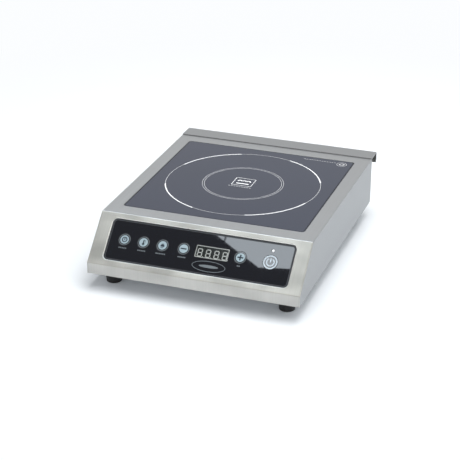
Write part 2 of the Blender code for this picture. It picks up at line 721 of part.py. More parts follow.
def build_controls(fascia):
    panel_outline = rounded_rectangle(
        WINDOW_HALF_WIDTH - CLEARANCE,
        WINDOW_HALF_HEIGHT - CLEARANCE,
        WINDOW_CORNER - CLEARANCE,
        (0.0, WINDOW_MIDDLE),
    )
    panel = object_from(
        "control_panel",
        lambda bm: prism(bm, panel_outline, PANEL_BACK, -PANEL_RECESS),
        "panel_black",
        parent=fascia,
    )
    display_half = (DISPLAY_WIDTH / 2, DISPLAY_HEIGHT / 2)

    def holes(bm):
        for x, radius in KEYS.values():
            prism(bm, circle(radius + KEY_GAP, (x, KEY_Y)), PANEL_BACK - CUT_BEYOND, CUT_BEYOND)
        led_hole = circle(LED_DIAMETER / 2 + CLEARANCE, (ON_OFF_X, LED_Y), 16)
        prism(bm, led_hole, PANEL_BACK - CUT_BEYOND, CUT_BEYOND)
        half_x, half_y = (half + CLEARANCE for half in display_half)
        low = (DISPLAY_X - half_x, KEY_Y - half_y, PANEL_BACK - CUT_BEYOND)
        block(bm, low, (DISPLAY_X + half_x, KEY_Y + half_y, CUT_BEYOND))

    cut(panel, object_from("holes of the panel", holes, parent=fascia))

    def lens(bm):
        low = (DISPLAY_X - display_half[0], KEY_Y - display_half[1], PANEL_BACK)
        block(bm, low, (DISPLAY_X + display_half[0], KEY_Y + display_half[1], -PANEL_RECESS))

    def digits(bm):
        low = (DISPLAY_X - display_half[0], KEY_Y - display_half[1], SWITCH_BOTTOM)
        high = (DISPLAY_X + display_half[0], KEY_Y + display_half[1], PANEL_BACK - CLEARANCE)
        block(bm, low, high)

    object_from("display_window", lens, "smoked", parent=fascia)
    object_from("display_module", digits, "plastic_black", parent=fascia)

    def lamp(bm):
        radius = LED_DIAMETER / 2
        top = -PANEL_RECESS
        inwards, down = LAMP_EDGE
        sections = [(radius, SWITCH_BOTTOM), (radius, top - down), (radius - inwards, top)]
        stepped_shaft(bm, sections, 16, (ON_OFF_X, LED_Y))

    object_from("power_led", lamp, "lamp", parent=fascia)

    for name, (x, radius) in KEYS.items():
        build_key(fascia, name, x, radius)

    board_half_x = WINDOW_HALF_WIDTH - WINDOW_LEDGE - BOARD_MARGIN
    board_half_y = WINDOW_HALF_HEIGHT - WINDOW_LEDGE - BOARD_MARGIN
    board_low = (-board_half_x, WINDOW_MIDDLE - board_half_y, CONTROL_BOARD_BACK)
    board_high = (board_half_x, WINDOW_MIDDLE + board_half_y, CONTROL_BOARD_TOP)
    object_from(
        "control_board", lambda bm: block(bm, board_low, board_high), "board_green", parent=fascia
    )

    def buzzer(bm):
        top = CONTROL_BOARD_BACK - CLEARANCE
        low = top - BUZZER_HEIGHT
        profile = [
            (BUZZER_HOLE, low),
            (BUZZER_RADIUS, low),
            (BUZZER_RADIUS, top),
            (BUZZER_RADIUS - BUZZER_WALL, top),
            (BUZZER_RADIUS - BUZZER_WALL, low + BUZZER_WALL),
            (BUZZER_HOLE, low + BUZZER_WALL),
        ]
        turned(bm, profile, 20, (BUZZER_PLACE[0], WINDOW_MIDDLE + BUZZER_PLACE[1]))

    object_from("buzzer", buzzer, "plastic_black", parent=fascia)
    build_ribbon(fascia)


def build_key(fascia, name, x, radius):
    """A key: cap flush with the panel, flange behind it and stem into its tact switch."""
    sections = [
        (KEY_STEM_RADIUS, STEM_TIP),
        (KEY_STEM_RADIUS, STEM_TOP),
        (radius + KEY_GAP + KEY_FLANGE, STEM_TOP),
        (radius + KEY_GAP + KEY_FLANGE, FLANGE_TOP),
        (radius, FLANGE_TOP),
        (radius, -PANEL_RECESS),
    ]
    axis = empty(f"axis of key {name}", (x, KEY_Y, 0.0))
    axis.parent = fascia
    object_from(f"key_{name}", lambda bm: stepped_shaft(bm, sections), "key_print", parent=axis)

    half = SWITCH_SIZE / 2
    switch = object_from(
        f"switch_{name}",
        lambda bm: block(bm, (-half, -half, SWITCH_BOTTOM), (half, half, SWITCH_TOP)),
        "plastic_grey",
        parent=axis,
    )
    hole = circle(KEY_STEM_RADIUS + STEM_GAP, steps=16)
    cut(
        switch,
        object_from(
            f"stem hole {name}",
            lambda bm: prism(bm, hole, HOLE_BOTTOM, SWITCH_TOP + KEY_TRAVEL),
            parent=axis,
        ),
    )


def fascia_point(fascia, down, out):
    """World (y, z) of a point on the fascia: down its slope from the fold, and out along its normal."""
    point = fascia.matrix_world @ Vector((0.0, -down, out))
    return (point.y, point.z)


def build_ribbon(fascia):
    """Flat cable from the back of the control board to the front edge of the main board."""
    bpy.context.view_layer.update()
    start_down = WINDOW_TOP + WINDOW_HEIGHT * RIBBON_START
    start = fascia_point(fascia, start_down, CONTROL_BOARD_BACK - CLEARANCE)
    lead_out = fascia_point(fascia, start_down, CONTROL_BOARD_BACK - RIBBON_LEAD)
    end_y = FRONT_Y + MAIN_BOARD_FRONT + RIBBON_INSET
    points = [start, lead_out, (end_y, PARTS_Z + RIBBON_RISE), (end_y, PARTS_Z)]
    section = folded_sheet(points, [RIBBON_BEND] * 2, RIBBON_THICKNESS)
    object_from(
        "control_ribbon",
        lambda bm: prism(bm, section, RIBBON_X, RIBBON_X + RIBBON_WIDTH, "X"),
        "plastic_grey",
    )


# ---------------------------------------------------------------- induction coil


def build_coil():
    centre = empty("coil axis", (0.0, GLASS_Y, 0.0))
    former_radius = COIL_OUTER_RADIUS + FORMER_RIM
    former = object_from(
        "coil_former",
        lambda bm: prism(bm, circle(former_radius, steps=32), FORMER_BOTTOM, FORMER_TOP),
        "plastic_white",
        parent=centre,
    )
    edge = GLASS_GAP + FRAME_OVERLAP
    pad_x = GLASS_HALF_WIDTH + edge - ARM_WIDTH
    pad_y = GLASS_HALF_DEPTH + edge - ARM_WIDTH
    pad_top = GLASS_BOTTOM - SHEET - 2 * CLEARANCE

    def arms(bm):
        for sx in (-1, 1):
            angle = math.atan2(pad_y, sx * pad_x)
            turn = Matrix.Rotation(angle, 3, "Z")
            reach = math.hypot(pad_x, pad_y) + ARM_WIDTH / 2
            half = ARM_WIDTH / 2
            corners = [(-reach, -half), (reach, -half), (reach, half), (-reach, half)]
            outline = [(turn @ Vector((*corner, 0.0)))[:2] for corner in corners]
            lift = ARM_STAGGER * sx
            prism(bm, outline, FORMER_BOTTOM + ARM_INSET + lift, FORMER_TOP - ARM_INSET + lift)

    def pads(bm):
        half = ARM_WIDTH / 2 - PAD_INSET
        for sx in (-1, 1):
            for sy in (-1, 1):
                x, y = sx * pad_x, sy * pad_y
                block(bm, (x - half, y - half, FORMER_BOTTOM), (x + half, y + half, pad_top))

    first_arm = object_from("former arms", arms, parent=centre)
    self_union = first_arm.modifiers.new("cross", "BOOLEAN")
    self_union.operation = "UNION"
    self_union.solver = "EXACT"
    self_union.use_self = True
    middle = object_from(
        "middle of the cross",
        lambda bm: prism(
            bm, circle(ARM_WIDTH, steps=12), FORMER_BOTTOM + PAD_INSET, FORMER_TOP - PAD_INSET
        ),
        parent=centre,
    )
    self_union.object = middle
    join(former, first_arm, object_from("former pads", pads, parent=centre))

    def bores(bm):
        prism(bm, circle(FORMER_BORE), FORMER_BOTTOM - CUT_BEYOND, FORMER_TOP + CUT_BEYOND)

    cut(former, object_from("former bore", bores, parent=centre))

    def winding(bm):
        """One flat bar wound in a spiral from the inner to the outer radius."""
        pitch = (COIL_OUTER_RADIUS - COIL_INNER_RADIUS) / (COIL_TURNS + 1)
        bar = pitch - WINDING_GAP
        bottom = COIL_TOP - COIL_HEIGHT
        rings = []
        for i in range(COIL_TURNS * COIL_STEPS + 1):
            turn = i / COIL_STEPS
            angle = 2 * math.pi * turn
            inner = COIL_INNER_RADIUS + pitch * turn
            c, s = math.cos(angle), math.sin(angle)
            section = ((inner, bottom), (inner + bar, bottom), (inner + bar, COIL_TOP), (inner, COIL_TOP))
            rings.append([(r * c, r * s, z) for r, z in section])
        closed_rings(bm, rings, closed_ends=True)

    object_from("induction_coil", winding, "copper", parent=centre)

    length, width, height = FERRITE_SIZE
    for i in range(FERRITE_COUNT):
        bar = object_from(
            f"ferrite_bar_{i + 1}",
            lambda bm: block(bm, (-length / 2, -width / 2, -height), (length / 2, width / 2, 0.0)),
            "ferrite",
            parent=centre,
        )
        angle = 2 * math.pi * (i + 0.5) / FERRITE_COUNT
        bar.rotation_euler = (0.0, 0.0, angle)
        bar.location = (FERRITE_RADIUS * math.cos(angle), FERRITE_RADIUS * math.sin(angle), FERRITE_TOP)

    def mica(bm):
        low = MICA_TOP - MICA_THICKNESS
        ring = [(MICA_BORE, low), (former_radius, low), (former_radius, MICA_TOP), (MICA_BORE, MICA_TOP)]
        turned(bm, ring)

    object_from("mica_sheet", mica, "mica", parent=centre)

    def sensor(bm):
        low = FORMER_TOP + CLEARANCE
        beyond, thickness = SENSOR_FOOT
        sections = [
            (SENSOR_RADIUS + beyond, low),
            (SENSOR_RADIUS + beyond, low + thickness),
            (SENSOR_RADIUS, low + thickness),
            (SENSOR_RADIUS, GLASS_BOTTOM - CLEARANCE),
        ]
        stepped_shaft(bm, sections)

    object_from("pan_sensor", sensor, "plastic_white", parent=centre)


# ---------------------------------------------------------------- fan and air path


def build_fan():
    axis = empty("fan axis", (FAN_X, FAN_Y, 0.0))
    half = FAN_SIZE / 2
    frame = object_from(
        "fan_frame",
        lambda bm: prism(bm, rounded_rectangle(half, half, FAN_CORNER), FAN_BOTTOM, FAN_TOP),
        "plastic_black",
        parent=axis,
    )
    bore = circle(FAN_BORE_RADIUS, steps=36)
    cut(
        frame,
        object_from(
            "fan bore",
            lambda bm: prism(bm, bore, FAN_BOTTOM - CUT_BEYOND, FAN_TOP + CUT_BEYOND),
            parent=axis,
        ),
    )
    strut_reach = FAN_BORE_RADIUS + FAN_RIM_OVERLAP
    strut_top = FAN_BOTTOM + FAN_BOSS_HEIGHT - 2 * FAN_STRUT_STEP
    strut_half = FAN_STRUT_WIDTH / 2

    def one_strut(along_x):
        def draw(bm):
            x, y = (strut_reach, strut_half) if along_x else (strut_half, strut_reach)
            low = FAN_BOTTOM + (FAN_STRUT_STEP if along_x else 2 * FAN_STRUT_STEP)
            block(bm, (-x, -y, low), (x, y, strut_top - (0.0 if along_x else FAN_STRUT_STEP)))

        return draw

    boss_top = FAN_BOTTOM + FAN_BOSS_HEIGHT
    pin_top = FAN_TOP - FAN_PIN_DROP

    def boss(bm):
        sections = [
            (FAN_HUB_RADIUS - FAN_BOSS_INSET, FAN_BOTTOM),
            (FAN_HUB_RADIUS - FAN_BOSS_INSET, boss_top),
            (FAN_PIN_RADIUS, boss_top),
            (FAN_PIN_RADIUS, pin_top),
        ]
        stepped_shaft(bm, sections)

    join(
        frame,
        object_from("fan strut along x", one_strut(True), parent=axis),
        object_from("fan strut along y", one_strut(False), parent=axis),
        object_from("fan boss", boss, parent=axis),
    )

    hub_low = boss_top + FAN_ROTOR_LIFT
    hub_top = FAN_TOP - FAN_ROTOR_DROP
    hole = FAN_PIN_RADIUS + FAN_PIN_GAP
    hole_top = pin_top + FAN_PIN_END_GAP

    def hub(bm):
        stepped_shaft(bm, [(FAN_HUB_RADIUS, hub_low), (FAN_HUB_RADIUS, hub_top)])

    def blades(bm):
        tip = FAN_BORE_RADIUS - FAN_TIP_GAP
        root = FAN_HUB_RADIUS - FAN_RIM_OVERLAP
        low = hub_low + BLADE_MARGIN
        rise = hub_top - hub_low - 2 * BLADE_MARGIN - BLADE_THICKNESS
        for blade in range(FAN_BLADES):
            start = 2 * math.pi * blade / FAN_BLADES
            rings = []
            for i in range(BLADE_STATIONS):
                radius = root + (tip - root) * i / (BLADE_STATIONS - 1)
                lower, upper = [], []
                for j in range(BLADE_FACETS + 1):
                    share = j / BLADE_FACETS
                    angle = start + BLADE_SWEEP * share
                    x, y = radius * math.cos(angle), radius * math.sin(angle)
                    lower.append((x, y, low + rise * share))
                    upper.append((x, y, low + rise * share + BLADE_THICKNESS))
                rings.append(lower + upper[::-1])
            closed_rings(bm, rings, closed_ends=True)

    rotor = object_from("fan_rotor", hub, "plastic_black", parent=axis)
    join(rotor, object_from("fan blades", blades, parent=axis))
    cut(
        rotor,
        object_from(
            "axle hole", lambda bm: prism(bm, circle(hole), hub_low - CUT_BEYOND, hole_top), parent=axis
        ),
    )

    guard_top = FLOOR_Z + GUARD_THICKNESS
    guard = object_from(
        "fan_guard",
        lambda bm: prism(bm, circle(FAN_BORE_RADIUS + GUARD_OVERLAP, steps=32), FLOOR_Z, guard_top),
        "zinc",
        parent=axis,
    )

    def gaps(bm):
        inner = FAN_HUB_RADIUS * GUARD_EYE
        band = (FAN_BORE_RADIUS - inner) / GUARD_RINGS
        quarter = math.pi / 2
        for ring in range(GUARD_RINGS):
            low = inner + band * ring
            high = low + band - GUARD_RIB
            for k in range(4):
                start = k * quarter + GUARD_RIB / low
                end = (k + 1) * quarter - GUARD_RIB / low
                outline = arc((0, 0), high, start, end, 5) + arc((0, 0), low, end, start, 5)
                prism(bm, outline, FLOOR_Z - CUT_BEYOND, guard_top + CUT_BEYOND)

    cut(guard, object_from("guard gaps", gaps, parent=axis))


def build_air_duct():
    """Roofed channel that turns the fan's air rearwards through the heatsink."""
    left = FAN_X - FAN_SIZE / 2 - CLEARANCE - DUCT_WALL
    right = FAN_X + FAN_SIZE / 2 + CLEARANCE + DUCT_WALL
    front = FAN_Y - FAN_SIZE / 2 - CLEARANCE - DUCT_WALL
    rear = HEATSINK_REAR + DUCT_TAIL
    low = FLOOR_Z + DUCT_OPENING
    duct = object_from(
        "air_duct", lambda bm: block(bm, (left, front, low), (right, rear, DUCT_TOP)), "plastic_grey"
    )
    inside_low = (left + DUCT_WALL, front + DUCT_WALL, low - CUT_BEYOND)
    inside_high = (right - DUCT_WALL, rear + CUT_BEYOND, DUCT_TOP - DUCT_WALL)
    cut(duct, object_from("inside of the duct", lambda bm: block(bm, inside_low, inside_high)))


# ---------------------------------------------------------------- power electronics


def build_heatsink():
    """Extruded base and fins, with a bare ledge on its right for the semiconductors."""
    finned = HEATSINK_WIDTH - HEATSINK_LEDGE
    pitch = (finned - FIN_THICKNESS) / (HEATSINK_FINS - 1)
    base_top = HEATSINK_Z + HEATSINK_BASE
    top = HEATSINK_Z + HEATSINK_HEIGHT
    outline = [(HEATSINK_LEFT, HEATSINK_Z), (HEATSINK_RIGHT, HEATSINK_Z), (HEATSINK_RIGHT, base_top)]
    for i in reversed(range(HEATSINK_FINS)):
        x = HEATSINK_LEFT + i * pitch
        outline += [(x + FIN_THICKNESS, base_top), (x + FIN_THICKNESS, top), (x, top)]
        if i:
            outline.append((x, base_top))
    object_from(
        "heatsink",
        lambda bm: prism(bm, outline, HEATSINK_FRONT, HEATSINK_REAR, "Y"),
        "aluminium",
    )

    middle = HEATSINK_RIGHT - PACKAGE_SETBACK - TRANSISTOR_SIZE[0] / 2
    spread = HEATSINK_LENGTH / 4
    centre_y = (HEATSINK_FRONT + HEATSINK_REAR) / 2
    leaded_package("transistor_1", (middle, centre_y - spread), TRANSISTOR_SIZE, 3)
    leaded_package("transistor_2", (middle, centre_y + spread), TRANSISTOR_SIZE, 3)
    leaded_package("bridge_rectifier", (middle, centre_y), RECTIFIER_SIZE, 4)


def leaded_package(name, place, size, leads):
    """A flat semiconductor on the heatsink's ledge, with its leads towards the main board."""
    half_x, half_y = size[0] / 2, size[1] / 2
    low = (place[0] - half_x, place[1] - half_y, LEDGE_Z)
    high = (place[0] + half_x, place[1] + half_y, LEDGE_Z + size[2])
    package = object_from(name, lambda bm: block(bm, low, high), "plastic_black")

    def draw_leads(bm):
        pitch = size[1] / leads
        lead_z = LEDGE_Z + size[2] / 2
        for i in range(leads):
            y = low[1] + pitch * (i + 0.5)
            lead_low = (high[0] - LEAD_OVERLAP, y - LEAD_WIDTH / 2, lead_z)
            block(bm, lead_low, (high[0] + LEAD_LENGTH, y + LEAD_WIDTH / 2, lead_z + LEAD_THICKNESS))

    join(package, object_from(f"leads of {name}", draw_leads))


def build_main_board():
    left, right = MAIN_BOARD_LEFT, MAIN_BOARD_RIGHT
    front, rear = FRONT_Y + MAIN_BOARD_FRONT, REAR_Y - MAIN_BOARD_REAR
    board_top = MAIN_BOARD_Z + BOARD_THICKNESS
    object_from(
        "main_board",
        lambda bm: block(bm, (left, front, MAIN_BOARD_Z), (right, rear, board_top)),
        "board_green",
    )
    for name, (offset, size) in CAPACITORS.items():
        place = (left + offset[0], GLASS_Y + offset[1])
        outline = rounded_rectangle(size[0] / 2, size[1] / 2, CAPACITOR_CHAMFER, place, steps=1)
        object_from(
            name, lambda bm: prism(bm, outline, PARTS_Z, PARTS_Z + size[2]), "plastic_white"
        )

    def choke(bm):
        """A wound ring standing on edge."""
        steps, sides = 20, 10
        x, y = left + CHOKE_PLACE[0], GLASS_Y + CHOKE_PLACE[1]
        middle = (x, y, PARTS_Z + CHOKE_RADIUS + CHOKE_WIRE_RADIUS)
        rings = []
        for i in range(steps):
            angle = 2 * math.pi * i / steps
            ring = []
            for j in range(sides):
                around = 2 * math.pi * (j + 0.5) / sides
                r = CHOKE_RADIUS + CHOKE_WIRE_RADIUS * math.cos(around)
                y = middle[1] + CHOKE_WIRE_RADIUS * math.sin(around)
                ring.append((middle[0] + r * math.cos(angle), y, middle[2] + r * math.sin(angle)))
            rings.append(ring)
        closed_rings(bm, rings, closed_ends=False)

    object_from("filter_choke", choke, "copper")


# ---------------------------------------------------------------- mains entry


def build_mains_entry(rear_panel):
    gland_x = -HALF_WIDTH + GLAND_FROM_LEFT
    gland_z = BASE_FLANGE_Z + GLAND_RISE + GLAND_HEX_RADIUS
    axis = empty("gland axis", (gland_x, REAR_Y, gland_z), (-math.pi / 2, 0.0, 0.0))
    thread_hole = GLAND_THREAD_RADIUS + CLEARANCE
    cut(
        rear_panel,
        object_from(
            "gland hole", lambda bm: prism(bm, circle(thread_hole), -4 * SHEET, 4 * SHEET), parent=axis
        ),
    )
    hexagon = circle(GLAND_HEX_RADIUS, steps=6)
    hex_low = CLEARANCE
    hex_high = hex_low + GLAND_HEX_LENGTH
    thread_low = -SHEET - CLEARANCE - GLAND_THREAD_LENGTH
    thread_high = hex_high + GLAND_THREAD_LENGTH / 2
    body = object_from(
        "gland_body", lambda bm: prism(bm, hexagon, hex_low, hex_high), "plastic_black", parent=axis
    )

    def thread(bm):
        prism(bm, circle(GLAND_THREAD_RADIUS), thread_low, thread_high)

    def bore(bm):
        prism(bm, circle(GLAND_BORE_RADIUS), thread_low - CUT_BEYOND, thread_high + CUT_BEYOND)

    join(body, object_from("gland thread", thread, parent=axis))
    cut(body, object_from("gland bore", bore, parent=axis))

    nut_low = hex_high + CLEARANCE
    nut_high = nut_low + GLAND_NUT_LENGTH
    grip_top = nut_low + GLAND_GRIP
    nut = object_from(
        "gland_dome_nut", lambda bm: prism(bm, hexagon, nut_low, grip_top), "plastic_black", parent=axis
    )

    def dome(bm):
        dome_radius = GLAND_HEX_RADIUS * math.cos(math.pi / 6) - DOME_INSET
        bulge, below_nose = DOME_SHOULDER
        sections = [
            (dome_radius, nut_low + UNION_OVERLAP),
            (dome_radius, grip_top + 2 * UNION_OVERLAP),
            ((dome_radius + GLAND_NOSE_RADIUS) / 2 + bulge, nut_high - below_nose),
            (GLAND_NOSE_RADIUS, nut_high),
        ]
        stepped_shaft(bm, sections)

    def nut_bore(bm):
        sections = [
            (thread_hole, nut_low - CUT_BEYOND),
            (thread_hole, thread_high + CLEARANCE),
            (GLAND_BORE_RADIUS, thread_high + CLEARANCE),
            (GLAND_BORE_RADIUS, nut_high + CUT_BEYOND),
        ]
        stepped_shaft(bm, sections)

    join(nut, object_from("nut dome", dome, parent=axis))
    cut(nut, object_from("nut bore", nut_bore, parent=axis))

    lock_high = -SHEET - CLEARANCE
    lock_low = lock_high - GLAND_LOCKNUT_LENGTH
    locknut = object_from(
        "gland_locknut", lambda bm: prism(bm, hexagon, lock_low, lock_high), "plastic_black", parent=axis
    )
    lock_bore = object_from(
        "locknut bore",
        lambda bm: prism(bm, circle(thread_hole), lock_low - CUT_BEYOND, lock_high + CUT_BEYOND),
        parent=axis,
    )
    cut(locknut, lock_bore)

    length, width, height = TERMINAL_SIZE
    block_x = gland_x + TERMINAL_PLACE[0]
    block_y = HEATSINK_REAR + TERMINAL_PLACE[1]
    low = (block_x - length / 2, block_y - width / 2, FLOOR_Z)
    high = (block_x + length / 2, block_y + width / 2, FLOOR_Z + height)
    terminal = object_from("terminal_block", lambda bm: block(bm, low, high), "plastic_white")

    def screw_wells(bm):
        for i in (-1, 0, 1):
            place = (block_x + i * length / 3, block_y)
            well = circle(TERMINAL_SCREW_RADIUS, place, 12)
            prism(bm, well, high[2] - TERMINAL_SCREW_DEPTH, high[2] + CUT_BEYOND)

    cut(terminal, object_from("terminal screw wells", screw_wells))


def main():
    clear_scene()
    fascia = empty("fascia", (0.0, FOLD_Y, DECK_Z), (FASCIA_ANGLE, 0.0, 0.0))
    build_housing(fascia)
    rear_panel = build_rear_panel()
    build_base_plate()
    build_feet()
    build_glass()
    build_controls(fascia)
    build_coil()
    build_fan()
    build_air_duct()
    build_heatsink()
    build_main_board()
    build_mains_entry(rear_panel)


main()
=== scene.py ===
"""Looks of a counter-top induction hob, built round its packed CAD model.

Laid out as an add-on and run as a script: main() registers the classes and builds every piece
through its operator.
Metres, +Z up. +X is the right-hand side, -Y the front with the controls.
"""

import json
import math

import bmesh
import bpy
from bpy.props import FloatProperty, FloatVectorProperty, IntProperty, PointerProperty
from mathutils import Matrix, Vector


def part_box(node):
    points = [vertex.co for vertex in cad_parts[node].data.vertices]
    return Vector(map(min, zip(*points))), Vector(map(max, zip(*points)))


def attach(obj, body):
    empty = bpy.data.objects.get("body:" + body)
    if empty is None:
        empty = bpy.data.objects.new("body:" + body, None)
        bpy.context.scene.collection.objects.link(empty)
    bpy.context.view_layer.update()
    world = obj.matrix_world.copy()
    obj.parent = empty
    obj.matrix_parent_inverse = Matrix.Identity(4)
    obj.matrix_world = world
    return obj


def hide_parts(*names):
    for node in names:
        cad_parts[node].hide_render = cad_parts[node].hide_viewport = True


bl_info = {
    "name": "Induction Hob",
    "version": (1, 0, 0),
    "blender": (4, 5, 0),
    "location": "View3D > Sidebar > Hob",
    "description": "Builds the visible pieces of a counter-top induction hob",
    "category": "Object",
}

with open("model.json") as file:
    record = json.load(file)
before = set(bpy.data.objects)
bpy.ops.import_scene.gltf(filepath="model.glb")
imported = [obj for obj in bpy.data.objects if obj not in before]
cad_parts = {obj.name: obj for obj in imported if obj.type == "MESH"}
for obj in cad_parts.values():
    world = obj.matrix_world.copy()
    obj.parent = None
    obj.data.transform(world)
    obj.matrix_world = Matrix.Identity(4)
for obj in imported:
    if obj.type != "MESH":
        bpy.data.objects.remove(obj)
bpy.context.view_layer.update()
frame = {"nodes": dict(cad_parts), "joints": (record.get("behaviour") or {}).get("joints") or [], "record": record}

# ---------------------------------------------------------------- places taken from the frame

GAP = 0.0003                # between neighbouring pieces
SHEET = 0.0012              # steel sheet
LIP_HEIGHT = 0.0169         # upright lip below the fascia
HEM_RADIUS = 0.0016
HEM_HEIGHT = 0.0060
HOOD_FLANGE = 0.0180
LEDGE = 0.0035              # of the fascia's pocket, behind the panel
KEY_FLANGE = 0.00155        # flange of a key beyond its cap
THREAD_HOLE = 0.0101        # radius of the hole for the cord gland's thread
MERGE = 1e-6
PRINT_GAP = 0.00002         # printed layers stand this far off what they are printed on
PRINT_THICKNESS = 0.00003
FULL_TURN = 2 * math.pi
QUARTER_TURN = math.pi / 2

SHELL_LOW, SHELL_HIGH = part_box("housing_shell")
REAR_LOW, REAR_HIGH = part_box("rear_panel")
GLASS_LOW, GLASS_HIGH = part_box("glass_plate")
SEAL_LOW, SEAL_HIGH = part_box("glass_seal")
HALF_WIDTH = SHELL_HIGH.x
FRONT_Y = SHELL_LOW.y
SHELL_REAR_Y = SHELL_HIGH.y
REAR_Y = SHELL_REAR_Y + GAP + SHEET
BODY_Z = SHELL_LOW.z
DECK_Z = SHELL_HIGH.z
TOP_Z = REAR_HIGH.z
HOOD_Y = REAR_HIGH.y
LIP_Z = BODY_Z + LIP_HEIGHT
GLASS_CENTRE = (GLASS_LOW + GLASS_HIGH) / 2
GLASS_HALF = (GLASS_HIGH - GLASS_LOW) / 2
OPENING_GAP = SEAL_HIGH.x - GLASS_HIGH.x + GAP

PRESS = next(joint for joint in frame["joints"] if joint["name"] == "on_off_press")["axis"]
FASCIA_ANGLE = math.atan2(PRESS[1], -PRESS[2])
FOLD_Y = FRONT_Y + (DECK_Z - LIP_Z) / math.tan(FASCIA_ANGLE)
FASCIA = Matrix.Translation((0.0, FOLD_Y, DECK_Z)) @ Matrix.Rotation(FASCIA_ANGLE, 4, "X")


def fascia_box(node):
    """Lowest and highest corner of a CAD node in the fascia's own frame: x, up its slope, and out."""
    to_fascia = FASCIA.inverted()
    points = [to_fascia @ vertex.co for vertex in frame["nodes"][node].data.vertices]
    return (
        Vector([min(p[i] for p in points) for i in range(3)]),
        Vector([max(p[i] for p in points) for i in range(3)]),
    )


PANEL_LOW, PANEL_HIGH = fascia_box("control_panel")
PANEL_TOP = PANEL_HIGH.z
WINDOW_RISE = 0.0012        # the pressed window reaches this far above the CAD panel
WINDOW_HALF = (
    (PANEL_HIGH.x - PANEL_LOW.x) / 2 + GAP, (PANEL_HIGH.y + WINDOW_RISE - PANEL_LOW.y) / 2 + GAP
)
WINDOW_CENTRE = (0.0, (PANEL_LOW.y + PANEL_HIGH.y + WINDOW_RISE) / 2)
DISPLAY_LOW, DISPLAY_HIGH = fascia_box("display_window")
DISPLAY_CENTRE = (DISPLAY_LOW + DISPLAY_HIGH) / 2
LAMP_LOW, LAMP_HIGH = fascia_box("power_led")
LAMP_CENTRE = (LAMP_LOW + LAMP_HIGH) / 2

# ---------------------------------------------------------------- settings


def size(name, description, default):
    return FloatProperty(
        name=name, description=description, default=default, min=0.0, precision=5,
        subtype="DISTANCE", unit="LENGTH",
    )


def tint(name, description, default):
    return FloatVectorProperty(
        name=name, description=description, default=default, min=0.0, max=1.0, size=3, subtype="COLOR"
    )


def share(name, description, default):
    return FloatProperty(
        name=name, description=description, default=default, min=0.0, max=1.0, subtype="FACTOR"
    )


def brightness(name, description, default):
    return FloatProperty(name=name, description=description, default=default, min=0.0)


def power(name, description, default):
    return FloatProperty(name=name, description=description, default=default, min=0.0, unit="POWER")


def spot(name, description, default):
    return FloatVectorProperty(
        name=name, description=description, default=default, size=3, subtype="TRANSLATION", unit="LENGTH"
    )


class HousingSettings(bpy.types.PropertyGroup):
    """Sizes and colours of the folded steel."""

    fold_radius: size("Fold Radius", "Outer radius of the folds above and below the fascia", 0.0022)
    side_radius: size("Side Radius", "Outer radius where the deck turns down into the sides", 0.0012)
    rim_radius: size("Rim Radius", "Rolled edge of the window pressed in the fascia", 0.0014)
    window_corner: size("Window Corner", "Corner radius of the window", 0.0070)
    edge_break: size("Edge Break", "Rounding of the edge round the glass", 0.0003)
    seam_inset: size("Seam Inset", "Seam between the fascia and the side, from the side's face", 0.0014)
    seam_width: size("Seam Width", "Width of that seam", 0.00045)
    seam_depth: size("Seam Depth", "Depth of that seam", 0.0004)
    steel: tint("Steel", "Colour of the brushed steel", (0.50, 0.512, 0.522))
    # painted reflection: a warm tint that only the fascia's steel gets, standing for the warm light it reflects
    fascia_reflection_tint: tint("Warm Steel", "Tint of the steel on the fascia", (0.56, 0.540, 0.490))
    roughness: share("Roughness", "Roughness of the brushed steel", 0.40)
    anisotropy: share("Anisotropy", "How far highlights stretch across the grain", 0.45)


class RearSettings(bpy.types.PropertyGroup):
    """Sizes of the rear panel's folds, openings and screws."""

    hood_fold: size("Hood Fold", "Outer radius of the folds of the hood", 0.0014)
    slot_width: size("Slot Width", "Width of an air outlet slot", 0.0032)
    slot_height: size("Slot Height", "Height of an air outlet slot", 0.0240)
    slot_pitch: size("Slot Pitch", "Distance from slot to slot", 0.0080)
    slot_drop: size("Slot Drop", "Deck to the top of the slots", 0.0120)
    first_slot: size("First Slot", "Left side to the first slot", 0.0700)
    last_margin: size("Last Margin", "Right side to the last slot, at least", 0.0180)
    screw_radius: size("Screw Radius", "Radius of a pan head", 0.0034)
    screw_height: size("Screw Height", "Height of a pan head", 0.0019)


class GlassSettings(bpy.types.PropertyGroup):
    """Sizes and colours of the glass and what is printed on it."""

    corner: size("Corner", "Corner radius of the glass", 0.0040)
    polish: size("Polished Edge", "Rounding of the glass's upper edge", 0.0005)
    zone_radius: size("Zone Radius", "Outer ring of the cooking zone", 0.1203)
    thick_line: size("Thick Line", "Width of the ring's four thick arcs", 0.0019)
    thin_line: size("Thin Line", "Width of the ring's thin arcs", 0.0009)
    inner_radius: size("Inner Radius", "Outer one of the two inner rings", 0.0631)
    inner_step: size("Inner Step", "Distance between the two inner rings", 0.0031)
    inner_line: size("Inner Line", "Width of the inner rings", 0.0008)
    print_tint: tint("Print", "Colour of the printed lines", (0.92, 0.94, 0.98))
    glass_tint: tint("Glass", "Colour of the glass-ceramic", (0.007, 0.014, 0.038))


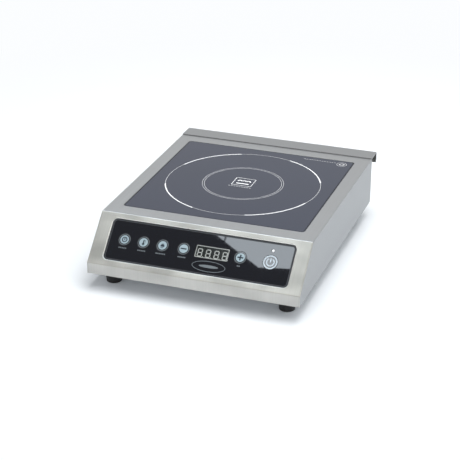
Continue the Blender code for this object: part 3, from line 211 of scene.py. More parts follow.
class PanelSettings(bpy.types.PropertyGroup):
    """Sizes and colours of the control panel, its keys and its display."""

    corner: size("Corner", "Corner radius of the panel", 0.0067)
    edge_break: size("Edge Break", "Rounding of the panel's edges", 0.00015)
    ring_width: size("Ring Width", "Light ring round a key", 0.0008)
    wide_ring: size("On/Off Ring Width", "Light ring round the on/off key", 0.0018)
    disc_radius: size("Disc Radius", "Printed disc on a key", 0.00665)
    digit_width: size("Digit Width", "Width of a display digit", 0.0076)
    digit_height: size("Digit Height", "Height of a display digit", 0.0128)
    digit_pitch: size("Digit Pitch", "Distance from digit to digit", 0.0127)
    segment: size("Segment", "Thickness of a digit's segment", 0.0014)
    frame_line: size("Frame Line", "Width of the line round the display", 0.0010)
    black: tint("Black", "Colour of the panel", (0.003, 0.004, 0.008))
    pale: tint("Pale", "Colour of the on/off key's print", (0.54, 0.63, 0.70))
    dim: tint("Ring", "Colour of the rings and dashes", (0.15, 0.175, 0.19))
    blue: tint("Disc", "Colour of the key discs", (0.33, 0.43, 0.48))
    navy: tint("Symbol", "Colour of the symbols on the discs", (0.004, 0.014, 0.026))
    warm: tint("Digit", "Colour of the digits and the frame round them", (0.36, 0.38, 0.37))


class TrimSettings(bpy.types.PropertyGroup):
    """Sizes and colours of feet, cord gland and base."""

    foot_edge: size("Foot Edge", "Rounding of a foot's lower edge", 0.0014)
    foot_groove: size("Foot Groove", "Depth of the groove round a foot", 0.0006)
    gland_ribs: IntProperty(name="Gland Ribs", description="Grip ribs on the gland's dome", default=18)
    rubber: tint("Rubber", "Colour of the feet and the gland's insert", (0.012, 0.012, 0.013))


class StageSettings(bpy.types.PropertyGroup):
    """Camera, light and floor."""

    camera_place: spot("Camera", "Where the camera stands", (0.6725, -1.9687, 0.9877))
    camera_aim: spot("Aim", "Where the camera looks", (0.0649, -0.2295, 0.1352))
    lens: FloatProperty(
        name="Lens", description="Focal length in millimetres", default=114.8, subtype="DISTANCE_CAMERA"
    )
    roll: FloatProperty(
        name="Roll", description="Turn about the view axis", default=0.0043, subtype="ANGLE"
    )
    surroundings: brightness("Surroundings", "Brightness of the pale walls", 0.85)
    backdrop: brightness("Backdrop", "Brightness of the floor far from the hob", 1.0)
    floor_glow: share("Floor Glow", "Share of the floor's brightness that shadows leave", 0.05)
    ceiling: brightness("Ceiling", "Brightness of the dark ceiling", 0.13)
    softbox: brightness("Softbox", "Brightness of the overhead softbox", 3.2)
    strip: brightness("Strip", "Brightness of the strip on the right", 3.0)
    key_light: power("Key Light", "Power of the large light overhead", 27.0)
    key_light_place: spot("Key Light Place", "Where the key light hangs", (0.20, 0.50, 2.20))
    key_light_width: size("Key Light Width", "Diameter of the key light", 1.5)
    fill_light: power("Fill Light", "Power of the very large soft light", 42.0)
    fill_light_place: spot("Fill Light Place", "Where the fill light hangs", (0.55, -0.10, 2.30))
    fill_light_width: size("Fill Light Width", "Diameter of the fill light", 3.0)
    floor: tint("Floor", "Colour of the floor", (0.83, 0.87, 0.91))


# ---------------------------------------------------------------- shape helpers


def arc(centre, radius, start, end, steps):
    """Points on an arc, in a plane, from the start angle to the end angle."""
    angles = [start + (end - start) * i / steps for i in range(steps + 1)]
    return [(centre[0] + radius * math.cos(a), centre[1] + radius * math.sin(a)) for a in angles]


def circle(radius, centre=(0.0, 0.0), steps=64):
    """Outline of a circle, anticlockwise."""
    return arc(centre, radius, 0.0, FULL_TURN, steps)[:-1]


def rounded_rectangle(half_x, half_y, radius, centre=(0.0, 0.0), steps=10):
    """Outline of a rectangle with round corners, anticlockwise."""
    points = []
    for turn, (sx, sy) in enumerate(((1, 1), (-1, 1), (-1, -1), (1, -1))):
        corner = (centre[0] + sx * (half_x - radius), centre[1] + sy * (half_y - radius))
        points += arc(corner, radius, turn * QUARTER_TURN, (turn + 1) * QUARTER_TURN, steps)
    return points


def stadium(width, length, centre=(0.0, 0.0), steps=6):
    """Outline of an upright slot with round ends."""
    radius = width / 2
    reach = length / 2 - radius
    top = arc((centre[0], centre[1] + reach), radius, 0.0, math.pi, steps)
    bottom = arc((centre[0], centre[1] - reach), radius, math.pi, FULL_TURN, steps)
    return top + bottom


def rounded_path(points, radii, steps=8):
    """An open path with each inner corner rounded to its radius."""
    path = [Vector(points[0])]
    for before, corner, after, radius in zip(points, points[1:], points[2:], radii):
        into = (Vector(corner) - Vector(before)).normalized()
        out = (Vector(after) - Vector(corner)).normalized()
        half_turn = math.acos(max(-1.0, min(1.0, into.dot(out)))) / 2
        side = 1.0 if into.cross(out) > 0 else -1.0
        first = Vector(corner) - into * radius * math.tan(half_turn)
        centre = first + Vector((-into.y, into.x)) * side * radius
        spoke = first - centre
        for i in range(steps + 1):
            path.append(centre + Matrix.Rotation(side * 2 * half_turn * i / steps, 2) @ spoke)
    path.append(Vector(points[-1]))
    return path


def offset_path(points, distance):
    """An open path moved to its right by distance, with mitred corners."""
    lines = [Vector(b) - Vector(a) for a, b in zip(points, points[1:])]
    sides = [Vector((v.y, -v.x)).normalized() for v in lines]
    moved = [Vector(points[0]) + sides[0] * distance]
    for corner, one, two in zip(points[1:-1], sides, sides[1:]):
        moved.append(Vector(corner) + (one + two) * distance / (1.0 + one.dot(two)))
    moved.append(Vector(points[-1]) + sides[-1] * distance)
    return moved


def folded_sheet(points, radii, thickness, steps=8):
    """Outline of a folded sheet whose outer side runs along points; it lies to their right."""
    inner = rounded_path(offset_path(points, thickness), [r - thickness for r in radii], steps)
    return rounded_path(points, radii, steps) + inner[::-1]


def closed_rings(bm, rings, closed_ends):
    """Faces between loops of points; the loops meet end to end or are capped."""
    loops = [[bm.verts.new(p) for p in ring] for ring in rings]
    pairs = list(zip(loops, loops[1:]))
    if closed_ends:
        bm.faces.new(loops[0][::-1])
        bm.faces.new(loops[-1])
    else:
        pairs.append((loops[-1], loops[0]))
    for one, two in pairs:
        count = len(one)
        for i in range(count):
            j = (i + 1) % count
            bm.faces.new((one[i], one[j], two[j], two[i]))


def prism(bm, outline, low, high, axis="Z"):
    """A closed prism: outline in the plane across axis, from low to high along it."""
    place = {
        "X": lambda p, t: (t, p[0], p[1]),
        "Y": lambda p, t: (p[0], t, p[1]),
        "Z": lambda p, t: (p[0], p[1], t),
    }[axis]
    closed_rings(bm, [[place(p, t) for p in outline] for t in (low, high)], closed_ends=True)


def cross(reach, half_arm):
    """Outline of a cross with four even arms."""
    outline = []
    for turn in range(4):
        spin = Matrix.Rotation(turn * QUARTER_TURN, 2)
        for point in ((reach, -half_arm), (reach, half_arm), (half_arm, half_arm)):
            outline.append(tuple(spin @ Vector(point)))
    return outline


def shoulder(outer, inner, low, high, steps, stop_short=False):
    """Rounded shoulder as (radius, height) points, after its first one at outer and low."""
    last = steps - 1 if stop_short else steps
    angles = [QUARTER_TURN * i / steps for i in range(1, last + 1)]
    return [
        (inner + (outer - inner) * math.cos(a), low + (high - low) * math.sin(a)) for a in angles
    ]


def block(bm, low, high):
    """An upright box from its lowest to its highest corner."""
    outline = [(low[0], low[1]), (high[0], low[1]), (high[0], high[1]), (low[0], high[1])]
    prism(bm, outline, low[2], high[2])


def flat_sections(outer, inner, low, high):
    """Cross-sections of a flat band between two lines with as many points."""
    return [[(*o, low), (*o, high), (*i, high), (*i, low)] for o, i in zip(outer, inner)]


def band(bm, outer, inner, low, high):
    """A flat closed band between two outlines with as many points."""
    closed_rings(bm, flat_sections(outer, inner, low, high), closed_ends=False)


def arc_band(bm, radius, width, start, end, low, high, centre=(0.0, 0.0), steps=32):
    """A flat stretch of a ring."""
    outer = arc(centre, radius + width / 2, start, end, steps)
    inner = arc(centre, radius - width / 2, start, end, steps)
    closed_rings(bm, flat_sections(outer, inner, low, high), closed_ends=True)


def ring_band(bm, radius, width, low, high, centre=(0.0, 0.0), steps=96):
    """A flat ring; radius is that of its middle line."""
    outer = circle(radius + width / 2, centre, steps)
    band(bm, outer, circle(radius - width / 2, centre, steps), low, high)


def stroke(bm, path, width, low, high):
    """A flat line of even width along an open path."""
    left, right = offset_path(path, -width / 2), offset_path(path, width / 2)
    prism(bm, [tuple(p) for p in left + right[::-1]], low, high)


def shaft(bm, sections, centre=(0.0, 0.0), steps=64):
    """A solid of revolution with flat ends, from (radius, height) points listed upwards."""
    rings = [[(x, y, z) for x, y in circle(r, centre, steps)] for r, z in sections]
    closed_rings(bm, rings, closed_ends=True)


def turned(bm, profile, centre=(0.0, 0.0), steps=64):
    """A solid turned about Z from a closed profile of (radius, height) points off the axis."""
    rings = []
    for i in range(steps):
        c, s = math.cos(FULL_TURN * i / steps), math.sin(FULL_TURN * i / steps)
        rings.append([(centre[0] + r * c, centre[1] + r * s, z) for r, z in profile])
    closed_rings(bm, rings, closed_ends=False)


def rounded_slab(bm, outline_at, bottom, top, radius, steps=4):
    """A flat slab whose upper edge is rounded; outline_at(inset) gives its outline."""
    rings = [[(*p, bottom) for p in outline_at(0.0)]]
    for i in range(steps + 1):
        angle = QUARTER_TURN * i / steps
        inset = radius * (1.0 - math.cos(angle))
        rings.append([(*p, top - radius + radius * math.sin(angle)) for p in outline_at(inset)])
    closed_rings(bm, rings, closed_ends=True)


def flared_cutter(bm, outline_at, bottom, surface, radius, beyond, steps=6):
    """A cutter whose wall flares out to the surface, so that it leaves a rounded edge."""
    rings = [[(*p, bottom) for p in outline_at(0.0)]]
    last_angle = math.radians(84.0)
    for i in range(steps + 1):
        angle = last_angle * i / steps
        out = radius * (1.0 - math.cos(angle))
        height = surface - radius + radius * math.sin(angle) / math.sin(last_angle)
        rings.append([(*p, height) for p in outline_at(-out)])
    rings.append([(*p, surface + beyond) for p in outline_at(-radius)])
    closed_rings(bm, rings, closed_ends=True)


# ---------------------------------------------------------------- pieces


def mesh_from(name, draw, place=None):
    """A mesh drawn by draw(bm), then moved to its place."""
    bm = bmesh.new()
    draw(bm)
    bmesh.ops.remove_doubles(bm, verts=bm.verts, dist=MERGE)
    bmesh.ops.recalc_face_normals(bm, faces=bm.faces)
    if place is not None:
        bm.transform(place)
    mesh = bpy.data.meshes.new(name)
    bm.to_mesh(mesh)
    bm.free()
    return mesh


def shade(mesh, angle=math.radians(32.0)):
    """Smooth shading, with sharp edges above the angle."""
    mesh.shade_smooth()
    mesh.set_sharp_from_angle(angle=angle)


def piece(name, draw, finish, body="housing", place=None, stands_for=()):
    """A visible piece drawn by draw(bm), which rides on a body and may stand for CAD nodes."""
    mesh = mesh_from(name, draw, place)
    mesh.materials.append(material(finish))
    shade(mesh)
    return show(name, mesh, body, stands_for)


def show(name, mesh, body, stands_for=()):
    """Puts a finished mesh in the scene, riding on its body."""
    made = bpy.data.objects.new(name, mesh)
    bpy.context.scene.collection.objects.link(made)
    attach(made, body)
    if stands_for:
        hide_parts(*stands_for)
    return made


def combined(name, draw, steps, place=None):
    """A mesh after exact Booleans, each step an operation, what draws its helper, and a place."""
    scene = bpy.context.scene
    target = bpy.data.objects.new(name, mesh_from(name, draw, place))
    scene.collection.objects.link(target)
    helpers = []
    for operation, draw_helper, helper_place in steps:
        helper = bpy.data.objects.new("helper", mesh_from("helper", draw_helper, helper_place))
        scene.collection.objects.link(helper)
        helpers.append(helper)
        modifier = target.modifiers.new(operation, "BOOLEAN")
        modifier.operation = operation
        modifier.solver = "EXACT"
        modifier.object = helper
    bpy.context.view_layer.update()
    evaluated = target.evaluated_get(bpy.context.evaluated_depsgraph_get())
    mesh = bpy.data.meshes.new_from_object(evaluated)
    for old in [target, *helpers]:
        old_mesh = old.data
        bpy.data.objects.remove(old, do_unlink=True)
        bpy.data.meshes.remove(old_mesh)
    mesh.name = name
    mesh.materials.clear()
    return mesh


def soften(made, width, segments=2):
    """Small rounded edges."""
    bevel = made.modifiers.new("edges", "BEVEL")
    bevel.width = width
    bevel.segments = segments
    bevel.limit_method = "ANGLE"
    bevel.angle_limit = math.radians(50.0)
    bevel.harden_normals = False


def even_normals(made):
    """Flat faces keep flat shading next to rounded edges."""
    weighted = made.modifiers.new("normals", "WEIGHTED_NORMAL")
    weighted.keep_sharp = True
    weighted.weight = 80


# ---------------------------------------------------------------- materials

MATERIAL_MAKERS = {}
SOCKET_NAMES = {"ior": "IOR", "specular_ior_level": "Specular IOR Level"}


def finish_maker(function):
    """Registers a finish under the name of the function that makes it."""
    MATERIAL_MAKERS[function.__name__] = function
    return function


def material(name):
    """The material of that finish, made once."""
    found = bpy.data.materials.get(f"{name}_finish")
    if found is None:
        found = bpy.data.materials.new(f"{name}_finish")
        found.use_nodes = True
        MATERIAL_MAKERS[name](found.node_tree)
    return found


def feed(tree, socket, value):
    """Links an output to a socket, or sets the socket to a number or a colour."""
    if isinstance(value, bpy.types.NodeSocket):
        tree.links.new(value, socket)
    elif socket.type == "RGBA":
        socket.default_value = (*value, 1.0)
    else:
        socket.default_value = value


def node(tree, kind, values=None, **settings):
    """A shader node with its settings, whose inputs are values or other nodes' outputs."""
    made = tree.nodes.new(kind)
    for key, value in settings.items():
        setattr(made, key, value)
    for key, value in (values or {}).items():
        feed(tree, made.inputs[key], value)
    return made


def principled(tree, colour, roughness, bump=None, **constants):
    """Sets the shader. colour and roughness are values or outputs; constants go on its own sockets."""
    inputs = tree.nodes["Principled BSDF"].inputs
    feed(tree, inputs["Base Color"], colour)
    feed(tree, inputs["Roughness"], roughness)
    if bump is not None:
        tree.links.new(bump, inputs["Normal"])
    for key, value in constants.items():
        inputs[SOCKET_NAMES.get(key, key.replace("_", " ").title())].default_value = value
    return tree.nodes["Principled BSDF"]


def position(tree, stretch=(1.0, 1.0, 1.0)):
    """The piece's own coordinates, scaled along each axis."""
    where = node(tree, "ShaderNodeTexCoord").outputs["Object"]
    mapping = node(tree, "ShaderNodeMapping", {"Vector": where, "Scale": stretch})
    return mapping.outputs["Vector"]


def noise(tree, scale, stretch=(1.0, 1.0, 1.0), detail=2.0):
    values = {"Vector": position(tree, stretch), "Scale": scale, "Detail": detail}
    return node(tree, "ShaderNodeTexNoise", values).outputs["Fac"]


def cells(tree, scale, stretch=(1.0, 1.0, 1.0)):
    """Flat patches of random brightness."""
    values = {"Vector": position(tree, stretch), "Scale": scale}
    colour = node(tree, "ShaderNodeTexVoronoi", values).outputs["Color"]
    return node(tree, "ShaderNodeRGBToBW", {"Color": colour}).outputs["Val"]


def spread(tree, value, low, high, from_low=0.3, from_high=0.7):
    """A value mapped onto low to high; the standing range is where most of a noise lies."""
    return ranged(tree, value, low, high, from_low, from_high, "LINEAR")


def ranged(tree, value, low, high, from_low, from_high, easing):
    """A value between from_low and from_high mapped onto low to high."""
    values = {
        "Value": value, "From Min": from_low, "From Max": from_high, "To Min": low, "To Max": high,
    }
    made = node(tree, "ShaderNodeMapRange", values, interpolation_type=easing)
    return made.outputs["Result"]


def maths(tree, operation, one, two):
    return node(tree, "ShaderNodeMath", {0: one, 1: two}, operation=operation).outputs["Value"]


def blended(tree, amount, one, two, blend_type="MIX"):
    """A colour between one and two; each is three numbers or an output."""
    colours = {0: amount, 6: one, 7: two}
    return node(tree, "ShaderNodeMix", colours, data_type="RGBA", blend_type=blend_type).outputs[2]


def scaled(tree, colour, factor):
    """A colour times a grey factor."""
    grey = node(tree, "ShaderNodeCombineColor", {0: factor, 1: factor, 2: factor})
    return blended(tree, 1.0, colour, grey.outputs["Color"], "MULTIPLY")


def bumps(tree, height, strength, distance):
    values = {"Height": height, "Strength": strength, "Distance": distance}
    return node(tree, "ShaderNodeBump", values).outputs["Normal"]


def shades(colour, darker=0.85, lighter=1.12):
    """A darker and a lighter tone of a colour."""
    return tuple(c * darker for c in colour), tuple(min(1.0, c * lighter) for c in colour)


def fascia_painted_light(tree, look, colour):
    """Painted light on the same steel: a warmer tint and blotches on the slanted fascia as painted reflections,
    lighter towards its lower edge as painted light, darker on the lip as painted shade.
    """
    normal = node(tree, "ShaderNodeNewGeometry").outputs["Normal"]
    facing = node(tree, "ShaderNodeSeparateXYZ", {"Vector": normal}).outputs
    slanted = spread(tree, facing["Y"], 1.0, 0.0, -0.60, -0.35)
    upright = spread(tree, facing["Z"], 0.6, 1.0, 0.30, 0.55)
    on_slope = maths(tree, "MULTIPLY", slanted, upright)
    # painted reflection: the fascia's steel tinted warmer than the rest of the sheet
    colour = blended(tree, on_slope, colour, look.fascia_reflection_tint)
    height = node(tree, "ShaderNodeSeparateXYZ", {"Vector": position(tree)}).outputs["Z"]
    fade = 0.022
    # painted light: the fascia made up to 1.28 times lighter towards its lower edge
    painted_light_below = spread(tree, height, 1.28, 1.0, LIP_Z, LIP_Z + fade)
    # painted reflections: soft lighter and darker blotches on the fascia
    reflection_blotch = spread(tree, noise(tree, 21.0, (1.0, 1.5, 1.5), 1.0), 0.82, 1.06, 0.35, 0.65)
    tone = maths(tree, "MULTIPLY", reflection_blotch, painted_light_below)
    painted_reflection_gain = node(tree, "ShaderNodeMix", {0: on_slope, 2: 1.0, 3: tone}, data_type="FLOAT")
    colour = scaled(tree, colour, painted_reflection_gain.outputs[0])
    # painted shade: the lip darkened to 0.82
    lip_painted_shade = spread(tree, facing["Y"], 0.82, 1.0, -0.95, -0.80)
    return scaled(tree, colour, lip_painted_shade)


def brushed_steel(tree, stretch, tangent, fascia=False, darker=1.0):
    """Brushed stainless: fine streaks along the grain and soft handling marks."""
    look = bpy.context.scene.hob_housing
    hair = noise(tree, 2600.0, stretch, 3.0)
    streak = noise(tree, 420.0, stretch, 2.0)
    mark = noise(tree, 11.0, (1.0, 1.0, 1.0), 3.0)
    # painted shade: darker dims the steel's colour
    colour = tuple(darker * c for c in look.steel)
    # the fascia gets painted reflections and painted shade
    if fascia:
        colour = fascia_painted_light(tree, look, colour)
    colour = scaled(tree, colour, spread(tree, streak, 0.965, 1.03))
    colour = scaled(tree, colour, spread(tree, mark, 0.96, 1.03))
    even = spread(tree, streak, look.roughness - 0.03, look.roughness + 0.03)
    rough = maths(tree, "ADD", even, spread(tree, mark, -0.02, 0.03))
    bump = bumps(tree, hair, 0.10, 0.00002)
    shader = principled(tree, colour, rough, bump, metallic=1.0, anisotropic=look.anisotropy)
    along = node(tree, "ShaderNodeCombineXYZ", {"X": tangent[0], "Y": tangent[1], "Z": tangent[2]})
    tree.links.new(along.outputs["Vector"], shader.inputs["Tangent"])


@finish_maker
def steel_lengthwise(tree):
    brushed_steel(tree, (1.0, 0.010, 0.010), (1.0, 0.0, 0.0), fascia=True)


@finish_maker
def steel_upright(tree):
    # the sides: the same steel darkened to 0.73 as painted shade
    brushed_steel(tree, (1.0, 1.0, 0.010), (0.0, 1.0, 0.0), darker=0.73)


@finish_maker
def steel_crosswise(tree):
    # the rear panel: the same steel darkened to 0.84 as painted shade
    brushed_steel(tree, (0.010, 1.0, 1.0), (1.0, 0.0, 0.0), darker=0.84)


@finish_maker
def rim_painted_highlight(tree):
    """The rolled rim of the window: lighter steel than the sheet, a painted highlight along the rim."""
    streak = noise(tree, 260.0, detail=3.0)
    colour = blended(tree, streak, (0.84, 0.84, 0.80), (0.96, 0.96, 0.93))
    principled(tree, colour, spread(tree, streak, 0.26, 0.36), metallic=1.0)


@finish_maker
def steel_painted_shade(tree):
    """The steel's inner side under the hood, darkened as painted shade."""
    cloud = noise(tree, 60.0, detail=3.0)
    colour = blended(tree, cloud, (0.17, 0.17, 0.16), (0.24, 0.24, 0.23))
    principled(tree, colour, spread(tree, cloud, 0.50, 0.65), metallic=1.0)


@finish_maker
def zinc_sheet(tree):
    """Galvanised sheet with its large soft crystals."""
    crystal = cells(tree, 120.0)
    colour = blended(tree, crystal, (0.44, 0.45, 0.46), (0.62, 0.63, 0.64))
    rough = spread(tree, crystal, 0.36, 0.52, 0.0, 1.0)
    principled(tree, colour, rough, bumps(tree, noise(tree, 900.0), 0.08, 0.00003), metallic=1.0)


@finish_maker
def screw_zinc(tree):
    colour = blended(tree, noise(tree, 700.0), (0.50, 0.50, 0.49), (0.68, 0.68, 0.66))
    principled(tree, colour, spread(tree, noise(tree, 1500.0), 0.25, 0.40), metallic=1.0)


@finish_maker
def black_glass(tree):
    """Polished glass-ceramic with a trace of wiping marks."""
    look = bpy.context.scene.hob_glass
    wiped = noise(tree, 9.0, (1.0, 2.2, 1.0), 4.0)
    colour = blended(tree, wiped, *shades(tuple(look.glass_tint), 0.9, 1.1))
    principled(tree, colour, spread(tree, wiped, 0.035, 0.075), ior=1.5)


@finish_maker
def glass_print(tree):
    """Fired enamel lines."""
    look = bpy.context.scene.hob_glass
    grain = noise(tree, 1800.0, detail=2.0)
    colour = blended(tree, grain, *shades(tuple(look.print_tint), 0.92, 1.05))
    principled(tree, colour, spread(tree, grain, 0.35, 0.50), bumps(tree, grain, 0.10, 0.00002))


@finish_maker
def glass_print_faint(tree):
    look = bpy.context.scene.hob_glass
    grain = noise(tree, 1800.0, detail=2.0)
    faint = tuple(c * 0.52 for c in look.print_tint)
    principled(tree, blended(tree, grain, *shades(faint)), spread(tree, grain, 0.35, 0.50))


@finish_maker
def silicone(tree):
    grain = noise(tree, 500.0, detail=3.0)
    colour = blended(tree, grain, (0.018, 0.020, 0.024), (0.030, 0.032, 0.038))
    principled(tree, colour, spread(tree, grain, 0.45, 0.62), bumps(tree, grain, 0.2, 0.00005))


@finish_maker
# painted shade: dark grey for the bead in the joint between deck and hood
def joint_shade_bead(tree):
    grain = noise(tree, 500.0, detail=3.0)
    principled(tree, blended(tree, grain, (0.090, 0.090, 0.092), (0.120, 0.120, 0.122)), 0.55)


@finish_maker
def gloss_black(tree):
    """Glossy overlay of the panel, very slightly wavy as stuck films are."""
    look = bpy.context.scene.hob_panel
    waves = noise(tree, 16.0, detail=1.0)
    dust = noise(tree, 240.0, detail=3.0)
    colour = blended(tree, dust, *shades(tuple(look.black), 0.9, 1.2))
    rough = spread(tree, dust, 0.012, 0.028)
    principled(tree, colour, rough, bumps(tree, waves, 0.02, 0.0004), ior=2.0)


def printed(tree, colour):
    """Screen print on the panel: an even film with a fine grain."""
    grain = noise(tree, 2500.0, detail=2.0)
    shaded = blended(tree, grain, *shades(tuple(colour), 0.93, 1.06))
    principled(tree, shaded, spread(tree, grain, 0.22, 0.34), bumps(tree, grain, 0.05, 0.00001))


@finish_maker
def print_pale(tree):
    printed(tree, bpy.context.scene.hob_panel.pale)


@finish_maker
def print_blue(tree):
    printed(tree, bpy.context.scene.hob_panel.blue)


@finish_maker
def print_navy(tree):
    printed(tree, bpy.context.scene.hob_panel.navy)


@finish_maker
def print_warm(tree):
    printed(tree, bpy.context.scene.hob_panel.warm)


@finish_maker
def print_dim(tree):
    printed(tree, bpy.context.scene.hob_panel.dim)


@finish_maker
def smoked_lens(tree):
    dust = noise(tree, 300.0, detail=3.0)
    colour = blended(tree, dust, (0.010, 0.012, 0.011), (0.018, 0.021, 0.020))
    principled(tree, colour, spread(tree, dust, 0.08, 0.14), ior=1.5)


@finish_maker
def lamp_lens(tree):
    cloud = noise(tree, 900.0, detail=2.0)
    colour = blended(tree, cloud, (0.80, 0.84, 0.88), (0.92, 0.95, 0.98))
    principled(tree, colour, spread(tree, cloud, 0.15, 0.25), coat_weight=0.6, coat_roughness=0.08)


def moulded(tree, colour, low, high, scale=420.0, depth=0.00006):
    """Moulded plastic or rubber with a fine spark-eroded grain."""
    grain = noise(tree, scale, detail=4.0)
    tone = noise(tree, 25.0, detail=2.0)
    shaded = scaled(tree, blended(tree, grain, *shades(colour)), spread(tree, tone, 0.93, 1.05))
    principled(tree, shaded, spread(tree, grain, low, high), bumps(tree, grain, 0.35, depth))


@finish_maker
def rubber(tree):
    moulded(tree, tuple(bpy.context.scene.hob_trim.rubber), 0.55, 0.75, 700.0, 0.00004)


@finish_maker
def black_plastic(tree):
    moulded(tree, (0.022, 0.022, 0.024), 0.38, 0.52)


@finish_maker
def grey_plastic(tree):
    moulded(tree, (0.28, 0.29, 0.30), 0.40, 0.55)


@finish_maker
def white_plastic(tree):
    moulded(tree, (0.72, 0.71, 0.67), 0.40, 0.55)


@finish_maker
def board_green(tree):
    """Solder mask over copper tracks."""
    tracks = node(tree, "ShaderNodeTexBrick", {
        "Vector": position(tree), "Scale": 90.0, "Mortar Size": 0.03,
    }).outputs["Fac"]
    colour = blended(tree, tracks, (0.012, 0.120, 0.050), (0.025, 0.200, 0.090))
    rough = spread(tree, noise(tree, 300.0), 0.30, 0.42)
    principled(tree, colour, rough, bumps(tree, tracks, 0.3, 0.00005))


@finish_maker
def copper_wire(tree):
    """Enamelled litz: fine strands round the axis of the coil."""
    strands = node(tree, "ShaderNodeTexWave", {
        "Vector": position(tree), "Scale": 260.0, "Distortion": 1.0,
    }, wave_type="RINGS", rings_direction="Z").outputs["Fac"]
    colour = blended(tree, strands, (0.46, 0.19, 0.09), (0.78, 0.40, 0.22))
    rough = spread(tree, strands, 0.28, 0.42, 0.0, 1.0)
    principled(tree, colour, rough, bumps(tree, strands, 0.5, 0.0002), metallic=1.0)


@finish_maker
def ferrite(tree):
    grain = noise(tree, 800.0, detail=4.0)
    colour = blended(tree, grain, (0.040, 0.040, 0.043), (0.075, 0.075, 0.080))
    principled(tree, colour, spread(tree, grain, 0.42, 0.60), bumps(tree, grain, 0.4, 0.0001))


@finish_maker
def mica(tree):
    flakes = cells(tree, 420.0, (1.0, 1.0, 4.0))
    colour = blended(tree, flakes, (0.50, 0.44, 0.31), (0.70, 0.64, 0.49))
    principled(tree, colour, spread(tree, flakes, 0.30, 0.60, 0.0, 1.0))


@finish_maker
def extruded_aluminium(tree):
    lines = noise(tree, 1200.0, (1.0, 0.015, 1.0), 2.0)
    colour = blended(tree, lines, (0.58, 0.59, 0.60), (0.74, 0.75, 0.76))
    rough = spread(tree, lines, 0.30, 0.45)
    principled(tree, colour, rough, bumps(tree, lines, 0.2, 0.00005), metallic=1.0)


# ---------------------------------------------------------------- housing


def housing_profile():
    """Outer side of the sheet from the lip's lower edge, over the fascia, to the deck's rear."""
    return [(FRONT_Y, BODY_Z), (FRONT_Y, LIP_Z), (FOLD_Y, DECK_Z), (SHELL_REAR_Y, DECK_Z)]


def body_block(bm, look, inset, low, rear, steps=8):
    """The housing's outer form, or its hollow once inset by the sheet, with round side edges."""
    side_radius = look.side_radius - inset
    fold_radius = look.fold_radius - inset
    flat = HALF_WIDTH - inset - side_radius
    stations = [QUARTER_TURN * i / steps for i in range(steps + 1)]
    rings = []
    for side, angles in ((-1, stations[::-1]), (1, stations)):
        for angle in angles:
            drop = side_radius * (1.0 - math.cos(angle))
            x = side * (flat + side_radius * math.sin(angle))
            path = rounded_path(offset_path(housing_profile(), inset + drop), [fold_radius - drop] * 2)
            outline = [(path[0].x, low), *path[1:-1], (rear, path[-1].y), (rear, low)]
            rings.append([(x, y, z) for y, z in outline])
    closed_rings(bm, rings, closed_ends=True)


def window_outline(inset, corner):
    """Outline of the fascia's window, moved inwards by inset."""
    return rounded_rectangle(WINDOW_HALF[0] - inset, WINDOW_HALF[1] - inset, corner, WINDOW_CENTRE)


def glass_outline(out, corner):
    """Outline of the glass with its corner radius, moved outwards by out."""
    centre = (GLASS_CENTRE.x, GLASS_CENTRE.y)
    return rounded_rectangle(GLASS_HALF.x + out, GLASS_HALF.y + out, corner + out, centre)


def seam_cutters(bm, look):
    """Grooves where the fascia and lip meet the side panels."""
    profile = housing_profile()[:3]
    profile[0] = (FRONT_Y, BODY_Z - SHEET)
    outer, inner = offset_path(profile, -SHEET), offset_path(profile, look.seam_depth)
    outline = [tuple(p) for p in outer] + [tuple(p) for p in inner[::-1]]
    for side in (-1, 1):
        middle = side * (HALF_WIDTH - look.seam_inset)
        prism(bm, outline, middle - look.seam_width / 2, middle + look.seam_width / 2, "X")


def build_housing(look):
    glass_corner = bpy.context.scene.hob_glass.corner
    beyond = 0.010
    pocket_floor = PANEL_LOW.z - GAP

    def window_at(inset):
        return window_outline(inset, look.window_corner - inset)

    def opening_at(inset):
        return glass_outline(OPENING_GAP - inset, glass_corner)

    def outside(bm):
        body_block(bm, look, 0.0, BODY_Z, SHELL_REAR_Y)

    def hollow(bm):
        body_block(bm, look, SHEET, BODY_Z - beyond, SHELL_REAR_Y + beyond)

    def pocket_wall(bm):
        band(bm, window_at(-SHEET), window_at(LEDGE), pocket_floor - SHEET, -SHEET / 2)

    def pocket(bm):
        flared_cutter(bm, window_at, pocket_floor, 0.0, look.rim_radius, beyond)

    def glass_opening(bm):
        flared_cutter(bm, opening_at, DECK_Z - 2 * SHEET, DECK_Z, look.edge_break, beyond)

    def seams(bm):
        seam_cutters(bm, look)

    mesh = combined("housing_skin", outside, [
        ("DIFFERENCE", hollow, None),
        ("UNION", pocket_wall, FASCIA),
        ("DIFFERENCE", pocket, FASCIA),
        ("DIFFERENCE", glass_opening, None),
        ("DIFFERENCE", seams, None),
    ])
    for finish in ("steel_lengthwise", "steel_upright", "rim_painted_highlight"):
        mesh.materials.append(material(finish))
    lengthwise, upright, edge = range(3)
    sideways, flat = 0.7, 0.97
    to_fascia = FASCIA.inverted()
    reach = [half + look.rim_radius for half in WINDOW_HALF]
    for face in mesh.polygons:
        place, facing = to_fascia @ face.center, to_fascia.to_3x3() @ face.normal
        in_window = abs(place.x) < reach[0] and abs(place.y - WINDOW_CENTRE[1]) < reach[1]
        # the rolled rim gets the lighter steel, a painted highlight
        if in_window and place.z > PANEL_LOW.z and facing.z < flat:
            face.material_index = edge
        else:
            # the sides get the darkened steel, painted shade
            face.material_index = upright if abs(face.normal.x) > sideways else lengthwise
    shade(mesh)
    even_normals(show("housing_skin", mesh, "housing", ["housing_shell"]))


